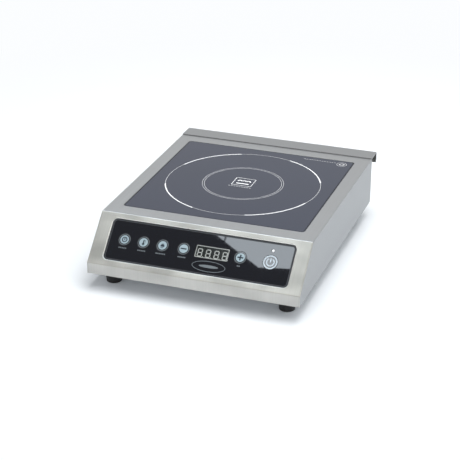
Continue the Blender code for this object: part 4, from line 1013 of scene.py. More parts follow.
def build_rear_panel(look):
    hem_y = HOOD_Y - 2 * HEM_RADIUS
    flange_z = TOP_Z - HOOD_FLANGE
    outer_side = [
        (REAR_Y - SHEET, BODY_Z),
        (REAR_Y - SHEET, TOP_Z),
        (HOOD_Y, TOP_Z),
        (HOOD_Y, flange_z),
        (hem_y, flange_z),
        (hem_y, flange_z + HEM_HEIGHT),
    ]
    hem_fold = HEM_RADIUS - 1e-5
    section = folded_sheet(outer_side, [look.hood_fold] * 2 + [hem_fold] * 2, SHEET)
    front, rear = REAR_Y - 3 * SHEET, REAR_Y + 2 * SHEET
    low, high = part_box("gland_body")
    gland_centre = ((low.x + high.x) / 2, (low.z + high.z) / 2)

    def sheet(bm):
        prism(bm, section, -HALF_WIDTH, HALF_WIDTH, "X")

    def slots(bm):
        run = 2 * HALF_WIDTH - look.first_slot - look.last_margin - look.slot_width
        middle_z = DECK_Z - look.slot_drop - look.slot_height / 2
        for i in range(int(run / look.slot_pitch) + 1):
            x = -HALF_WIDTH + look.first_slot + i * look.slot_pitch + look.slot_width / 2
            outline = stadium(look.slot_width, look.slot_height, (x, middle_z))
            prism(bm, outline, front, rear, "Y")

    def gland_hole(bm):
        prism(bm, circle(THREAD_HOLE, gland_centre), front, rear, "Y")

    mesh = combined("rear_skin", sheet, [("DIFFERENCE", slots, None), ("DIFFERENCE", gland_hole, None)])
    mesh.materials.append(material("steel_crosswise"))
    mesh.materials.append(material("steel_painted_shade"))
    for face in mesh.polygons:
        # faces under the hood get the darkened steel, painted shade
        under_hood = face.center.y > REAR_Y and (face.normal.y < -0.5 or face.normal.z < -0.5)
        face.material_index = 1 if under_hood else 0
    shade(mesh)
    even_normals(show("rear_skin", mesh, "housing", ["rear_panel"]))


def build_joint_shade():
    """A dark bead in the joint between the deck and the hood: painted shade in that groove."""
    toe_y, heel_y = SHELL_REAR_Y - 0.0008, SHELL_REAR_Y + 0.0012
    crest_y = SHELL_REAR_Y - 0.0002
    root, toe_z, top = DECK_Z - 0.0010, DECK_Z + 0.0001, TOP_Z - 0.00004
    reach = HALF_WIDTH - 0.0006
    outline = [(toe_y, root), (heel_y, root), (heel_y, top), (crest_y, top), (toe_y, toe_z)]
    piece("hood_joint_shade", lambda bm: prism(bm, outline, -reach, reach, "X"), "joint_shade_bead")


def pan_head(look):
    """A pan-head screw's head with a cross recess, standing on z = 0."""
    radius, height = look.screw_radius, look.screw_height
    rim_share, crown_share = 0.35, 0.45
    half_arm, reach, depth = 0.00035, 0.0019, 0.0011

    def head(bm):
        rim = height * rim_share
        sections = [(radius, 0.0), (radius, rim)]
        sections += shoulder(radius, radius * crown_share, rim, height, 6, stop_short=True)
        shaft(bm, sections, steps=32)

    def recess(bm):
        prism(bm, cross(reach, half_arm), height - depth, height + depth)

    mesh = combined("pan_head", head, [("DIFFERENCE", recess, None)])
    mesh.materials.append(material("screw_zinc"))
    shade(mesh)
    return mesh


def build_screws(look):
    mesh = pan_head(look)
    side_margin, low_margin, end_margin = 0.0120, 0.0100, 0.0750
    base_low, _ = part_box("base_plate")
    rear_places = [
        (side * (HALF_WIDTH - side_margin), REAR_Y, z)
        for side in (-1, 1)
        for z in (BODY_Z + low_margin, DECK_Z - low_margin)
    ]
    rear_places.append((0.0, REAR_Y, BODY_Z + low_margin))
    base_places = [
        (side * (HALF_WIDTH - side_margin), y, base_low.z)
        for side in (-1, 1)
        for y in (FRONT_Y + end_margin, 0.0, SHELL_REAR_Y - end_margin)
    ]
    rows = (
        ("rear_screw", rear_places, Matrix.Rotation(-QUARTER_TURN, 4, "X")),
        ("base_screw", base_places, Matrix.Rotation(math.pi, 4, "X")),
    )
    for prefix, places, turn in rows:
        for number, place in enumerate(places, start=1):
            made = show(f"{prefix}_{number}", mesh, "housing")
            made.matrix_world = Matrix.Translation(place) @ turn
            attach(made, "housing")


# ---------------------------------------------------------------- glass


def build_glass(look):
    def plate(bm):
        rounded_slab(
            bm, lambda inset: glass_outline(-inset, look.corner), GLASS_LOW.z, DECK_Z, look.polish
        )

    even_normals(piece("glass_top", plate, "black_glass", stands_for=["glass_plate"]))

    def bead(bm):
        inner, outer = GAP, OPENING_GAP - GAP
        middle, half = (inner + outer) / 2, (outer - inner) / 2
        crown = half / 2
        profile = [(inner, GLASS_LOW.z), (outer, GLASS_LOW.z)]
        for i in range(7):
            angle = math.pi * i / 6
            height = SEAL_HIGH.z - crown + crown * math.sin(angle)
            profile.append((middle + half * math.cos(angle), height))
        outlines = [glass_outline(out, look.corner) for out, _ in profile]
        rings = [
            [(*point, height) for point, (_, height) in zip(section, profile)]
            for section in zip(*outlines)
        ]
        closed_rings(bm, rings, closed_ends=False)

    piece("seal_bead", bead, "silicone", stands_for=["glass_seal"])


def build_glass_print(look):
    low = DECK_Z + PRINT_GAP
    high = low + PRINT_THICKNESS
    centre = (GLASS_CENTRE.x, GLASS_CENTRE.y)
    thick_half = math.radians(25.0)
    diagonals = [math.radians(45.0) + quarter * QUARTER_TURN for quarter in range(4)]

    def thick_arcs(bm):
        for middle in diagonals:
            start, end = middle - thick_half, middle + thick_half
            arc_band(bm, look.zone_radius, look.thick_line, start, end, low, high, centre, 48)

    def thin_rings(bm):
        for middle in diagonals:
            start = middle + thick_half
            end = start + QUARTER_TURN - 2 * thick_half
            arc_band(bm, look.zone_radius, look.thin_line, start, end, low, high, centre, 40)
        for radius in (look.inner_radius, look.inner_radius - look.inner_step):
            ring_band(bm, radius, look.inner_line, low, high, centre, 160)

    piece("cooking_zone_arcs", thick_arcs, "glass_print")
    piece("cooking_zone_rings", thin_rings, "glass_print_faint")

    def symbol(bm):
        """A plain sign for induction: three loops of a coil over a bar, in a frame."""
        middle = (centre[0] - 0.0002, centre[1] + 0.0048)
        half_x, half_y, corner, line = 0.0162, 0.0146, 0.0016, 0.0009
        outer = rounded_rectangle(half_x, half_y, corner, middle, 4)
        inner = rounded_rectangle(half_x - line, half_y - line, corner - line, middle, 4)
        band(bm, outer, inner, low, high)
        loop_radius, loop_line, loop_rise, overrun = 0.0029, 0.0026, 0.0022, 0.2
        loop_pitch = 2.35 * loop_radius
        for i in (-1, 0, 1):
            place = (middle[0] + i * loop_pitch, middle[1] + loop_rise)
            arc_band(bm, loop_radius, loop_line, -overrun, math.pi + overrun, low, high, place, 20)
        bar_reach, bar_low, bar_high = 0.0102, middle[1] - 0.0082, middle[1] - 0.0052
        block(bm, (middle[0] - bar_reach, bar_low, low), (middle[0] + bar_reach, bar_high, high))

    piece("induction_sign", symbol, "glass_print")

    def dashes(bm, x, end_x, y, height):
        dash, gap = 0.0030, 0.0012
        while x + dash <= end_x:
            block(bm, (x, y, low), (x + dash, y + height, high))
            x += dash + gap

    def corner_marks(bm):
        """A plain ring with a broken rule near the rear right corner, and one below the sign."""
        ring_centre = (centre[0] + 0.1240, centre[1] + 0.1255)
        for radius, line, steps in ((0.0078, 0.0009, 48), (0.0036, 0.0020, 32)):
            ring_band(bm, radius, line, low, high, ring_centre, steps)
        dashes(bm, centre[0] + 0.060, ring_centre[0] - 0.010, centre[1] + 0.1290, 0.0011)
        half_rule = 0.0190
        dashes(bm, centre[0] - half_rule, centre[0] + half_rule, centre[1] - 0.0155, 0.0015)

    piece("corner_marks", corner_marks, "glass_print_faint")


# ---------------------------------------------------------------- controls


def on_panel(level=0):
    """Heights of a printed layer on the panel: level 1 lies on level 0."""
    low = PANEL_TOP + PRINT_GAP + level * (PRINT_GAP + PRINT_THICKNESS)
    return low, low + PRINT_THICKNESS


def key_place(name):
    """Centre and cap radius of a key, in the fascia's frame."""
    low, high = fascia_box(f"key_{name}")
    return ((low.x + high.x) / 2, (low.y + high.y) / 2), (high.x - low.x) / 2 - KEY_FLANGE


def build_panel(look):
    key_gap, beyond = 0.00035, 0.002
    low, high = PANEL_LOW.z - beyond, PANEL_TOP + beyond

    def plate(bm):
        prism(bm, window_outline(GAP, look.corner), PANEL_LOW.z, PANEL_TOP)

    def holes(bm):
        for name in KEY_SYMBOLS:
            centre, radius = key_place(name)
            prism(bm, circle(radius + key_gap, centre), low, high)
        lamp_radius = (LAMP_HIGH.x - LAMP_LOW.x) / 2
        prism(bm, circle(lamp_radius + GAP, LAMP_CENTRE[:2], 32), low, high)
        corner = (DISPLAY_LOW.x - GAP, DISPLAY_LOW.y - GAP, low)
        block(bm, corner, (DISPLAY_HIGH.x + GAP, DISPLAY_HIGH.y + GAP, high))

    mesh = combined("panel_face", plate, [("DIFFERENCE", holes, None)])
    mesh.transform(FASCIA)
    mesh.materials.append(material("gloss_black"))
    shade(mesh)
    made = show("panel_face", mesh, "housing", ["control_panel"])
    soften(made, look.edge_break)
    even_normals(made)


def build_edge_band(look):
    """A dull black line round the panel's edge."""
    width, rise = 0.0026, 0.0003
    outer = window_outline(GAP, look.corner)
    inner = window_outline(GAP + width, look.corner - width)
    low, high = PANEL_TOP + PRINT_GAP, PANEL_TOP + rise
    piece(
        "panel_edge_band", lambda bm: band(bm, outer, inner, low, high), "silicone",
        place=FASCIA,
    )


def build_badge():
    """A plain oval badge below the display: its outline and a lens-shaped bar."""
    low, high = on_panel()
    drop = 0.0212
    centre = (DISPLAY_CENTRE.x, DISPLAY_CENTRE.y - drop)
    half_x, half_y, line = 0.0255, 0.00825, 0.0008
    half_bar, bulge = 0.0150, 0.0022

    def oval(radius_x, radius_y, steps):
        return [(centre[0] + radius_x * x, centre[1] + radius_y * y) for x, y in circle(1.0, steps=steps)]

    def emblem(bm):
        band(bm, oval(half_x, half_y, 72), oval(half_x - line, half_y - line, 72), low, high)
        prism(bm, oval(half_bar, bulge, 32), low, high)

    piece("oval_badge", emblem, "print_dim", place=FASCIA)


def build_key_dashes():
    """Rows of plain dashes below the keys."""
    low, high = on_panel()
    dash, gap, height, drop = 0.0017, 0.0009, 0.0019, 0.0132

    def rows(bm):
        for name, (_, count) in KEY_SYMBOLS.items():
            centre, _ = key_place(name)
            first_x = centre[0] - (count * dash + (count - 1) * gap) / 2
            y = centre[1] - drop
            for i in range(count):
                x = first_x + i * (dash + gap)
                block(bm, (x, y - height / 2, low), (x + dash, y + height / 2, high))

    piece("key_dashes", rows, "print_dim", place=FASCIA)


def build_display(look):
    half_lens = (DISPLAY_HIGH - DISPLAY_LOW) / 2
    lens_corner = 0.0006
    middle = DISPLAY_CENTRE[:2]

    def lens(bm):
        def outline_at(inset):
            return rounded_rectangle(half_lens.x - inset, half_lens.y - inset, lens_corner, middle, 3)

        rounded_slab(bm, outline_at, DISPLAY_LOW.z, PANEL_TOP, look.edge_break, 3)

    even_normals(piece(
        "display_lens", lens, "smoked_lens", place=FASCIA, stands_for=["display_window"]
    ))
    low, high = on_panel()
    half_x, half_y, corner, inner_corner = 0.0250, 0.0092, 0.0012, 0.0006

    def surround(bm):
        line = look.frame_line
        outer = rounded_rectangle(half_x, half_y, corner, middle, 4)
        inner = rounded_rectangle(half_x - line, half_y - line, inner_corner, middle, 4)
        band(bm, outer, inner, low, high)

    piece("display_surround", surround, "print_warm", place=FASCIA)

    def digits(bm):
        width, height, bar = look.digit_width, look.digit_height, look.segment
        side_margin, drop, dot_gap, dot_share = 0.0031, 0.0018, 0.0016, 0.45
        first_x = middle[0] - half_x + side_margin + width / 2
        y = middle[1] - drop
        for number in range(4):
            x = first_x + number * look.digit_pitch
            draw_digit(bm, (x, y), width, height, bar, low, high)
            dot = (x + width / 2 + dot_gap, y - height / 2 + bar / 2)
            prism(bm, circle(bar * dot_share, dot, 12), low, high)

    piece("display_digits", digits, "print_warm", place=FASCIA)


def draw_digit(bm, centre, width, height, bar, low, high):
    """Seven separate bars with pointed ends."""
    cut = 0.00015               # half the gap between two bars' points
    half_w, half_h = (width - bar) / 2, (height - bar) / 2

    def bar_between(one, two):
        along = (Vector(two) - Vector(one)).normalized()
        across = Vector((-along.y, along.x)) * bar / 2
        first, last = Vector(one) + along * cut, Vector(two) - along * cut
        near, far = first + along * bar / 2, last - along * bar / 2
        outline = [first, near - across, far - across, last, far + across, near + across]
        prism(bm, [(centre[0] + p.x, centre[1] + p.y) for p in outline], low, high)

    for y in (-half_h, 0.0, half_h):
        bar_between((-half_w, y), (half_w, y))
    for x in (-half_w, half_w):
        bar_between((x, -half_h), (x, 0.0))
        bar_between((x, 0.0), (x, half_h))


def sign_clock(bm, low, high):
    ring_radius, line = 0.0035, 0.0015
    ring_band(bm, ring_radius, line, low, high, steps=48)
    stroke(bm, [(0.0, 0.0022), (0.0, -0.0008)], line, low, high)


def sign_thermometer(bm, low, high):
    stem, bulb, rise, drop = 0.0009, 0.0019, 0.0034, 0.0024
    meet = math.asin(stem / bulb)
    outline = arc((0.0, rise), stem, 0.0, math.pi, 8)
    outline += arc((0.0, -drop), bulb, QUARTER_TURN + meet, FULL_TURN + QUARTER_TURN - meet, 20)
    prism(bm, outline, low, high)
    mark_start, mark_end, half_mark, mark_pitch = 0.0016, 0.0030, 0.0003, 0.0014
    for i in range(3):
        y = rise - mark_pitch * i
        block(bm, (mark_start, y - half_mark, low), (mark_end, y + half_mark, high))


def sign_flame(bm, low, high):
    """A three-tongued flame over a bar."""
    right = [
        (0.0, 0.0035), (0.0011, 0.0014), (0.0017, 0.0020),
        (0.0029, -0.0001), (0.0033, -0.0013), (0.0024, -0.0022),
    ]
    left = [(-x, y) for x, y in right[1:]]
    prism(bm, right[::-1] + left, low, high)
    half_bar, bar_bottom, bar_top = 0.0022, -0.0042, -0.0032
    block(bm, (-half_bar, bar_bottom, low), (half_bar, bar_top, high))


def sign_minus(bm, low, high):
    half_arm, reach = 0.0010, 0.0045
    block(bm, (-reach, -half_arm, low), (reach, half_arm, high))


def sign_plus(bm, low, high):
    half_arm, reach = 0.0011, 0.0044
    prism(bm, cross(reach, half_arm), low, high)


def sign_power(bm, low, high):
    radius, line, half_opening = 0.0055, 0.0016, math.radians(32.0)
    start, end = QUARTER_TURN + half_opening, FULL_TURN + QUARTER_TURN - half_opening
    arc_band(bm, radius, line, start, end, low, high, steps=48)
    bar_bottom, bar_top = -0.0004, 0.0060
    block(bm, (-line / 2, bar_bottom, low), (line / 2, bar_top, high))


# key: its sign, and how many dashes stand below it
KEY_SYMBOLS = {
    "timer": (sign_clock, 5),
    "temperature": (sign_thermometer, 5),
    "power": (sign_flame, 6),
    "down": (sign_minus, 5),
    "up": (sign_plus, 2),
    "on_off": (sign_power, 0),
}


def key_sections(name, edge):
    """Turned form of a key: stem, flange behind the panel, and cap with a rounded edge."""
    _, radius = key_place(name)
    low, _ = fascia_box(f"key_{name}")
    stem, flange_gap, flange = 0.0016, 0.0004, 0.0008
    flange_top = PANEL_LOW.z - flange_gap
    flange_low = flange_top - flange
    sections = [
        (stem, low.z), (stem, flange_low), (radius + KEY_FLANGE, flange_low),
        (radius + KEY_FLANGE, flange_top), (radius, flange_top), (radius, PANEL_TOP - edge),
    ]
    return sections + shoulder(radius, radius - edge, PANEL_TOP - edge, PANEL_TOP, 4)


def build_keys(look):
    edge = 0.0003
    first, second = on_panel(), on_panel(1)
    for name, (sign, _) in KEY_SYMBOLS.items():
        (x, y), radius = key_place(name)
        place = FASCIA @ Matrix.Translation((x, y, 0.0))
        sections = key_sections(name, edge)
        main_key = name == "on_off"
        line = look.wide_ring if main_key else look.ring_width
        ring_radius = radius - edge - line / 2

        def cap(bm):
            shaft(bm, sections, steps=72)

        def ring(bm):
            ring_band(bm, ring_radius, line, *first)

        def disc(bm):
            prism(bm, circle(look.disc_radius, steps=72), *first)

        def symbol(bm):
            sign(bm, *(first if main_key else second))

        layers = [("cap", cap, "gloss_black"), ("ring", ring, "print_pale" if main_key else "print_dim")]
        if not main_key:
            layers.append(("disc", disc, "print_blue"))
        layers.append(("sign", symbol, "print_pale" if main_key else "print_navy"))
        for layer, draw, finish in layers:
            stands_for = [f"key_{name}"] if layer == "cap" else ()
            made = piece(f"{name}_{layer}", draw, finish, f"{name}_key", place, stands_for)
            if layer == "cap":
                even_normals(made)


def build_lamp():
    radius = (LAMP_HIGH.x - LAMP_LOW.x) / 2
    dome = 0.0005
    sections = [(radius, LAMP_LOW.z), (radius, PANEL_TOP - dome)]
    sections += shoulder(radius, 0.0, PANEL_TOP - dome, PANEL_TOP, 7, stop_short=True)
    piece(
        "lamp_lens", lambda bm: shaft(bm, sections, LAMP_CENTRE[:2], 48), "lamp_lens",
        place=FASCIA, stands_for=["power_led"],
    )


# ---------------------------------------------------------------- feet and gland


def build_feet(look):
    bottom_radius, edge, groove = 0.0118, look.foot_edge, look.foot_groove
    recess, hole, recess_top, mouth = 0.0048, 0.0023, 0.0125, 0.0006
    groove_z, groove_half = 0.0150, 0.0012
    for corner in ("front_left", "front_right", "rear_left", "rear_right"):
        low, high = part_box(f"foot_{corner}")
        centre = ((low.x + high.x) / 2, (low.y + high.y) / 2)
        top_radius, height = (high.x - low.x) / 2, high.z
        slope = (top_radius - bottom_radius) / height
        profile = [(recess, mouth), (recess + mouth, 0.0)]
        profile += arc((bottom_radius - edge, edge), edge, -QUARTER_TURN, 0.0, 5)
        for step, inset in ((-1.0, 0.0), (-0.5, groove), (0.5, groove), (1.0, 0.0)):
            z = groove_z + step * groove_half
            profile.append((bottom_radius + slope * z - inset, z))
        profile += [
            (top_radius, height - edge / 2), (top_radius - edge / 2, height), (hole, height),
            (hole, recess_top), (recess, recess_top),
        ]
        piece(
            f"rubber_foot_{corner}", lambda bm: turned(bm, profile, centre), "rubber",
            stands_for=[f"foot_{corner}"],
        )


def build_gland(look):
    low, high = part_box("gland_dome_nut")
    centre_x, centre_z = (low.x + high.x) / 2, (low.z + high.z) / 2
    place = Matrix.Translation((centre_x, low.y, centre_z)) @ Matrix.Rotation(-QUARTER_TURN, 4, "X")
    hexagon_radius, length = (high.x - low.x) / 2, high.y - low.y
    hexagon_height, bore, nose = 0.0080, 0.0055, 0.0085
    shoulder_z = hexagon_height + 0.0015
    dome_radius = hexagon_radius * math.cos(math.pi / 6) - 0.0006
    thread_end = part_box("gland_body")[1].y - low.y + GAP
    sunk, beyond = 0.001, 0.002

    def hexagon(bm):
        prism(bm, circle(hexagon_radius, steps=6), 0.0, hexagon_height)

    def dome(bm):
        sections = [(dome_radius, sunk), (dome_radius, shoulder_z)]
        shaft(bm, sections + shoulder(dome_radius, nose, shoulder_z, length, 8))

    def ribs(bm):
        half_rib, proud, rib_bottom, rib_top = 0.0005, 0.0004, -0.0005, 0.0036
        for i in range(look.gland_ribs):
            angle = FULL_TURN * i / look.gland_ribs
            out = Vector((math.cos(angle), math.sin(angle)))
            side = Vector((-out.y, out.x)) * half_rib
            inner, outer = out * (dome_radius - sunk), out * (dome_radius + proud)
            outline = [tuple(p) for p in (inner - side, outer - side, outer + side, inner + side)]
            prism(bm, outline, hexagon_height + rib_bottom, hexagon_height + rib_top)

    def hollow(bm):
        wide = [(THREAD_HOLE, -beyond), (THREAD_HOLE, thread_end)]
        shaft(bm, wide + [(bore, thread_end), (bore, length + beyond)])

    mesh = combined("gland_cap", hexagon, [
        ("UNION", dome, None), ("UNION", ribs, None), ("DIFFERENCE", hollow, None),
    ])
    mesh.transform(place)
    mesh.materials.append(material("black_plastic"))
    shade(mesh)
    show("gland_cap", mesh, "housing", ["gland_dome_nut"])

    def insert(bm):
        """The seal's lip round the bore, just proud of the nose."""
        outer, inner = nose - 0.0007, bore + 0.0001
        back, face, mouth = length + 0.0002, length + 0.0014, length + 0.0009
        outer_edge, inner_edge = outer - 0.0006, inner + 0.0005
        turned(bm, [(inner, back), (outer, back), (outer_edge, face), (inner_edge, face), (inner, mouth)])

    piece("gland_insert", insert, "rubber", place=place)


# ---------------------------------------------------------------- carried-over pieces

SLOT_FINISHES = {
    "stainless": "steel_lengthwise",
    "zinc_steel": "zinc_sheet",
    "black_glass": "black_glass",
    "seal": "silicone",
    "panel_black": "gloss_black",
    "smoked_window": "smoked_lens",
    "lamp": "lamp_lens",
    "key_face": "gloss_black",
    "grey_plastic": "grey_plastic",
    "black_plastic": "black_plastic",
    "white_plastic": "white_plastic",
    "board": "board_green",
    "copper": "copper_wire",
    "ferrite": "ferrite",
    "mica": "mica",
    "aluminium": "extruded_aluminium",
    "foot_rubber": "rubber",
}


def finish_inner_parts():
    """A finish for every CAD node, and softer edges on the larger moulded ones."""
    edge = 0.0004
    moulded_parts = (
        "gland_body", "gland_locknut", "terminal_block", "dc_link_capacitor", "resonance_capacitor",
    )
    for part in frame["record"]["subparts"]:
        carried = frame["nodes"][part["node"]]
        finish = "screw_zinc" if "screw" in part["node"] else SLOT_FINISHES[part["material_slot"]]
        carried.data.materials.clear()
        carried.data.materials.append(material(finish))
    for name in moulded_parts:
        soften(frame["nodes"][name], edge)


# ---------------------------------------------------------------- stage


def build_stage(look):
    build_floor(look)
    build_world(look)
    build_cards(look)
    warm, white = (1.0, 0.985, 0.96), (1.0, 1.0, 1.0)
    area_light("key_light", look.key_light_place, look.key_light_width, look.key_light, warm)
    area_light("fill_light", look.fill_light_place, look.fill_light_width, look.fill_light, white)
    build_camera(look)
    bpy.context.scene.view_settings.view_transform = "Standard"


def build_camera(look):
    camera = bpy.data.cameras.new("camera")
    camera.lens = look.lens
    camera.sensor_width = 36.0
    standing = bpy.data.objects.new("camera", camera)
    standing.location = look.camera_place
    aim = Vector(look.camera_aim) - Vector(look.camera_place)
    turn = aim.to_track_quat("-Z", "Y").to_matrix() @ Matrix.Rotation(look.roll, 3, "Z")
    standing.rotation_euler = turn.to_euler()
    bpy.context.scene.collection.objects.link(standing)
    bpy.context.scene.camera = standing


def area_light(name, place, width, strength, colour):
    """A round light aimed at the hob, not seen in reflections."""
    hob = Vector((0.0, 0.0, 0.05))
    light = bpy.data.lights.new(name, "AREA")
    light.shape = "DISK"
    light.size = width
    light.energy = strength
    light.color = colour
    made = bpy.data.objects.new(name, light)
    made.visible_glossy = False
    made.location = place
    made.rotation_euler = (hob - Vector(place)).to_track_quat("-Z", "Y").to_euler()
    bpy.context.scene.collection.objects.link(made)


def build_floor(look):
    """A floor that turns into the white surroundings away from the hob."""
    reach, fade_start, fade_end = 12.0, 0.35, 1.1

    def sheet(bm):
        bmesh.ops.create_grid(bm, x_segments=2, y_segments=2, size=reach)

    mesh = mesh_from("floor", sheet)
    paper = bpy.data.materials.new("floor_paper")
    paper.use_nodes = True
    tree = paper.node_tree
    grain = noise(tree, 40.0, detail=2.0)
    colour = blended(tree, grain, *shades(tuple(look.floor), 0.995, 1.005))
    shader = principled(tree, colour, 0.9, specular_ior_level=0.0)
    length = node(tree, "ShaderNodeVectorMath", {0: position(tree)}, operation="LENGTH")
    distance = length.outputs["Value"]
    away = ranged(tree, distance, look.floor_glow, 1.0, fade_start, fade_end, "SMOOTHSTEP")
    glow = node(tree, "ShaderNodeEmission", {"Color": (0.97, 0.985, 1.0), "Strength": look.backdrop})
    ends = {"Fac": away, 1: shader.outputs["BSDF"], 2: glow.outputs["Emission"]}
    mixed = node(tree, "ShaderNodeMixShader", ends)
    tree.links.new(mixed.outputs["Shader"], tree.nodes["Material Output"].inputs["Surface"])
    mesh.materials.append(paper)
    floor = bpy.data.objects.new("floor", mesh)
    bpy.context.scene.collection.objects.link(floor)


def build_world(look):
    """White walls all round, and a dark ceiling."""
    walls_end, ceiling_start = 0.50, 0.76
    world = bpy.data.worlds.new("studio")
    world.use_nodes = True
    tree = world.node_tree
    direction = node(tree, "ShaderNodeTexCoord").outputs["Generated"]
    height = node(tree, "ShaderNodeSeparateXYZ", {"Vector": direction}).outputs["Z"]
    amount = ranged(
        tree, height, look.surroundings, look.ceiling, walls_end, ceiling_start, "SMOOTHSTEP"
    )
    background = tree.nodes["Background"]
    background.inputs["Color"].default_value = (1.0, 1.0, 1.0, 1.0)
    tree.links.new(amount, background.inputs["Strength"])
    bpy.context.scene.world = world


def build_cards(look):
    """Glowing cards seen only in reflections: an overhead softbox and a strip on the right."""
    high, seam_drop = 1.5, 0.001
    softbox = [
        (-0.366, -0.870), (0.10, -0.815), (0.45, -0.50), (0.45, 0.75), (-0.95, 0.75), (-0.95, -0.505),
    ]
    seam = [(-0.4530, -0.785), (-0.4490, -0.785), (-0.4575, -0.813), (-0.4615, -0.813)]
    strip = [(0.85, -0.95, 1.35), (1.30, -0.95, 1.05), (1.30, -0.10, 1.05), (0.85, -0.10, 1.35)]
    cool, white, warm = (0.85, 0.93, 1.0), (1.0, 1.0, 1.0), (1.0, 0.98, 0.94)
    card("softbox", [(x, y, high) for x, y in softbox], look.softbox, cool)
    card("softbox_seam", [(x, y, high - seam_drop) for x, y in seam], 0.0, white)
    card("right_strip", strip, look.strip, warm)


def card(name, outline, strength, colour):
    """One flat glowing sheet, hidden from the camera."""
    mesh = bpy.data.meshes.new(name)
    mesh.from_pydata(outline, [], [list(range(len(outline)))])
    cloth = bpy.data.materials.new(name)
    cloth.use_nodes = True
    tree = cloth.node_tree
    tree.nodes.remove(tree.nodes["Principled BSDF"])
    glow = node(tree, "ShaderNodeEmission", {"Color": colour, "Strength": strength})
    tree.links.new(glow.outputs["Emission"], tree.nodes["Material Output"].inputs["Surface"])
    mesh.materials.append(cloth)
    made = bpy.data.objects.new(name, mesh)
    made.visible_camera = False
    made.visible_diffuse = False
    made.visible_shadow = False
    bpy.context.scene.collection.objects.link(made)


# ---------------------------------------------------------------- operators


class HOB_OT_housing(bpy.types.Operator):
    """Builds the folded steel housing"""

    bl_idname = "hob.housing"
    bl_label = "Housing"

    def execute(self, context):
        build_housing(context.scene.hob_housing)
        return {"FINISHED"}


class HOB_OT_rear_panel(bpy.types.Operator):
    """Builds the rear panel with its hood and air outlet"""

    bl_idname = "hob.rear_panel"
    bl_label = "Rear Panel"

    def execute(self, context):
        build_rear_panel(context.scene.hob_rear)
        build_joint_shade()
        return {"FINISHED"}


class HOB_OT_screws(bpy.types.Operator):
    """Builds the screws of the rear panel and the base"""

    bl_idname = "hob.screws"
    bl_label = "Screws"

    def execute(self, context):
        build_screws(context.scene.hob_rear)
        return {"FINISHED"}


class HOB_OT_glass(bpy.types.Operator):
    """Builds the glass plate and its seal"""

    bl_idname = "hob.glass"
    bl_label = "Glass and Seal"

    def execute(self, context):
        build_glass(context.scene.hob_glass)
        return {"FINISHED"}


class HOB_OT_glass_print(bpy.types.Operator):
    """Prints the cooking zone on the glass"""

    bl_idname = "hob.glass_print"
    bl_label = "Glass Print"

    def execute(self, context):
        build_glass_print(context.scene.hob_glass)
        return {"FINISHED"}


class HOB_OT_control_panel(bpy.types.Operator):
    """Builds the control panel with its edge band, badge and key dashes"""

    bl_idname = "hob.control_panel"
    bl_label = "Control Panel"

    def execute(self, context):
        look = context.scene.hob_panel
        build_panel(look)
        build_edge_band(look)
        build_badge()
        build_key_dashes()
        return {"FINISHED"}


class HOB_OT_display(bpy.types.Operator):
    """Builds the display window and its digits"""

    bl_idname = "hob.display"
    bl_label = "Display"

    def execute(self, context):
        build_display(context.scene.hob_panel)
        return {"FINISHED"}


class HOB_OT_keys(bpy.types.Operator):
    """Builds the six keys and their signs"""

    bl_idname = "hob.keys"
    bl_label = "Keys"

    def execute(self, context):
        build_keys(context.scene.hob_panel)
        return {"FINISHED"}


class HOB_OT_lamp(bpy.types.Operator):
    """Builds the status lamp's lens"""

    bl_idname = "hob.lamp"
    bl_label = "Lamp"

    def execute(self, context):
        build_lamp()
        return {"FINISHED"}


class HOB_OT_feet(bpy.types.Operator):
    """Builds the four rubber feet"""

    bl_idname = "hob.feet"
    bl_label = "Feet"

    def execute(self, context):
        build_feet(context.scene.hob_trim)
        return {"FINISHED"}


class HOB_OT_gland(bpy.types.Operator):
    """Builds the cord gland's cap and insert"""

    bl_idname = "hob.gland"
    bl_label = "Cord Gland"

    def execute(self, context):
        build_gland(context.scene.hob_trim)
        return {"FINISHED"}


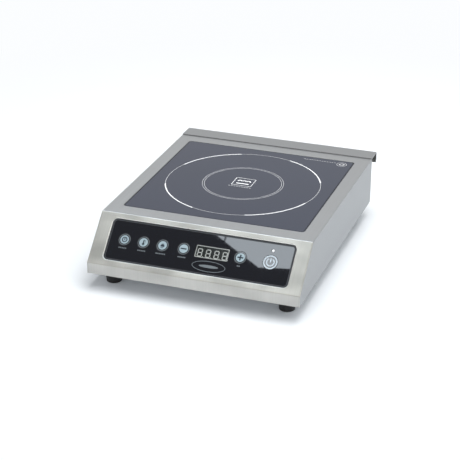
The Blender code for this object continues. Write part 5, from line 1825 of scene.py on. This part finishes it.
class HOB_OT_inner_parts(bpy.types.Operator):
    """Gives every carried-over part its finish"""

    bl_idname = "hob.inner_parts"
    bl_label = "Inner Parts"

    def execute(self, context):
        finish_inner_parts()
        return {"FINISHED"}


class HOB_OT_stage(bpy.types.Operator):
    """Sets up the floor, the light and the camera"""

    bl_idname = "hob.stage"
    bl_label = "Stage"

    def execute(self, context):
        build_stage(context.scene.hob_stage)
        return {"FINISHED"}


PIECE_OPERATORS = (
    HOB_OT_inner_parts,
    HOB_OT_housing,
    HOB_OT_rear_panel,
    HOB_OT_screws,
    HOB_OT_glass,
    HOB_OT_glass_print,
    HOB_OT_control_panel,
    HOB_OT_display,
    HOB_OT_keys,
    HOB_OT_lamp,
    HOB_OT_feet,
    HOB_OT_gland,
    HOB_OT_stage,
)

SETTINGS = {
    "hob_housing": HousingSettings,
    "hob_rear": RearSettings,
    "hob_glass": GlassSettings,
    "hob_panel": PanelSettings,
    "hob_trim": TrimSettings,
    "hob_stage": StageSettings,
}


class HOB_PT_pieces(bpy.types.Panel):
    """Lists the pieces and their settings"""

    bl_idname = "HOB_PT_pieces"
    bl_label = "Induction Hob"
    bl_space_type = "VIEW_3D"
    bl_region_type = "UI"
    bl_category = "Hob"

    def draw(self, context):
        for operator in PIECE_OPERATORS:
            self.layout.operator(operator.bl_idname)
        for name, group in SETTINGS.items():
            settings = getattr(context.scene, name)
            column = self.layout.box().column()
            column.label(text=group.__doc__)
            for key in group.__annotations__:
                column.prop(settings, key)


def register():
    for group in SETTINGS.values():
        bpy.utils.register_class(group)
    for operator in PIECE_OPERATORS:
        bpy.utils.register_class(operator)
    bpy.utils.register_class(HOB_PT_pieces)
    for name, group in SETTINGS.items():
        setattr(bpy.types.Scene, name, PointerProperty(type=group))


def unregister():
    for name in SETTINGS:
        delattr(bpy.types.Scene, name)
    bpy.utils.unregister_class(HOB_PT_pieces)
    for operator in reversed(PIECE_OPERATORS):
        bpy.utils.unregister_class(operator)
    for group in reversed(SETTINGS.values()):
        bpy.utils.unregister_class(group)


def main():
    register()
    for operator in PIECE_OPERATORS:
        getattr(bpy.ops.hob, operator.bl_idname.split(".")[1])()


if __name__ == "__main__":
    main()
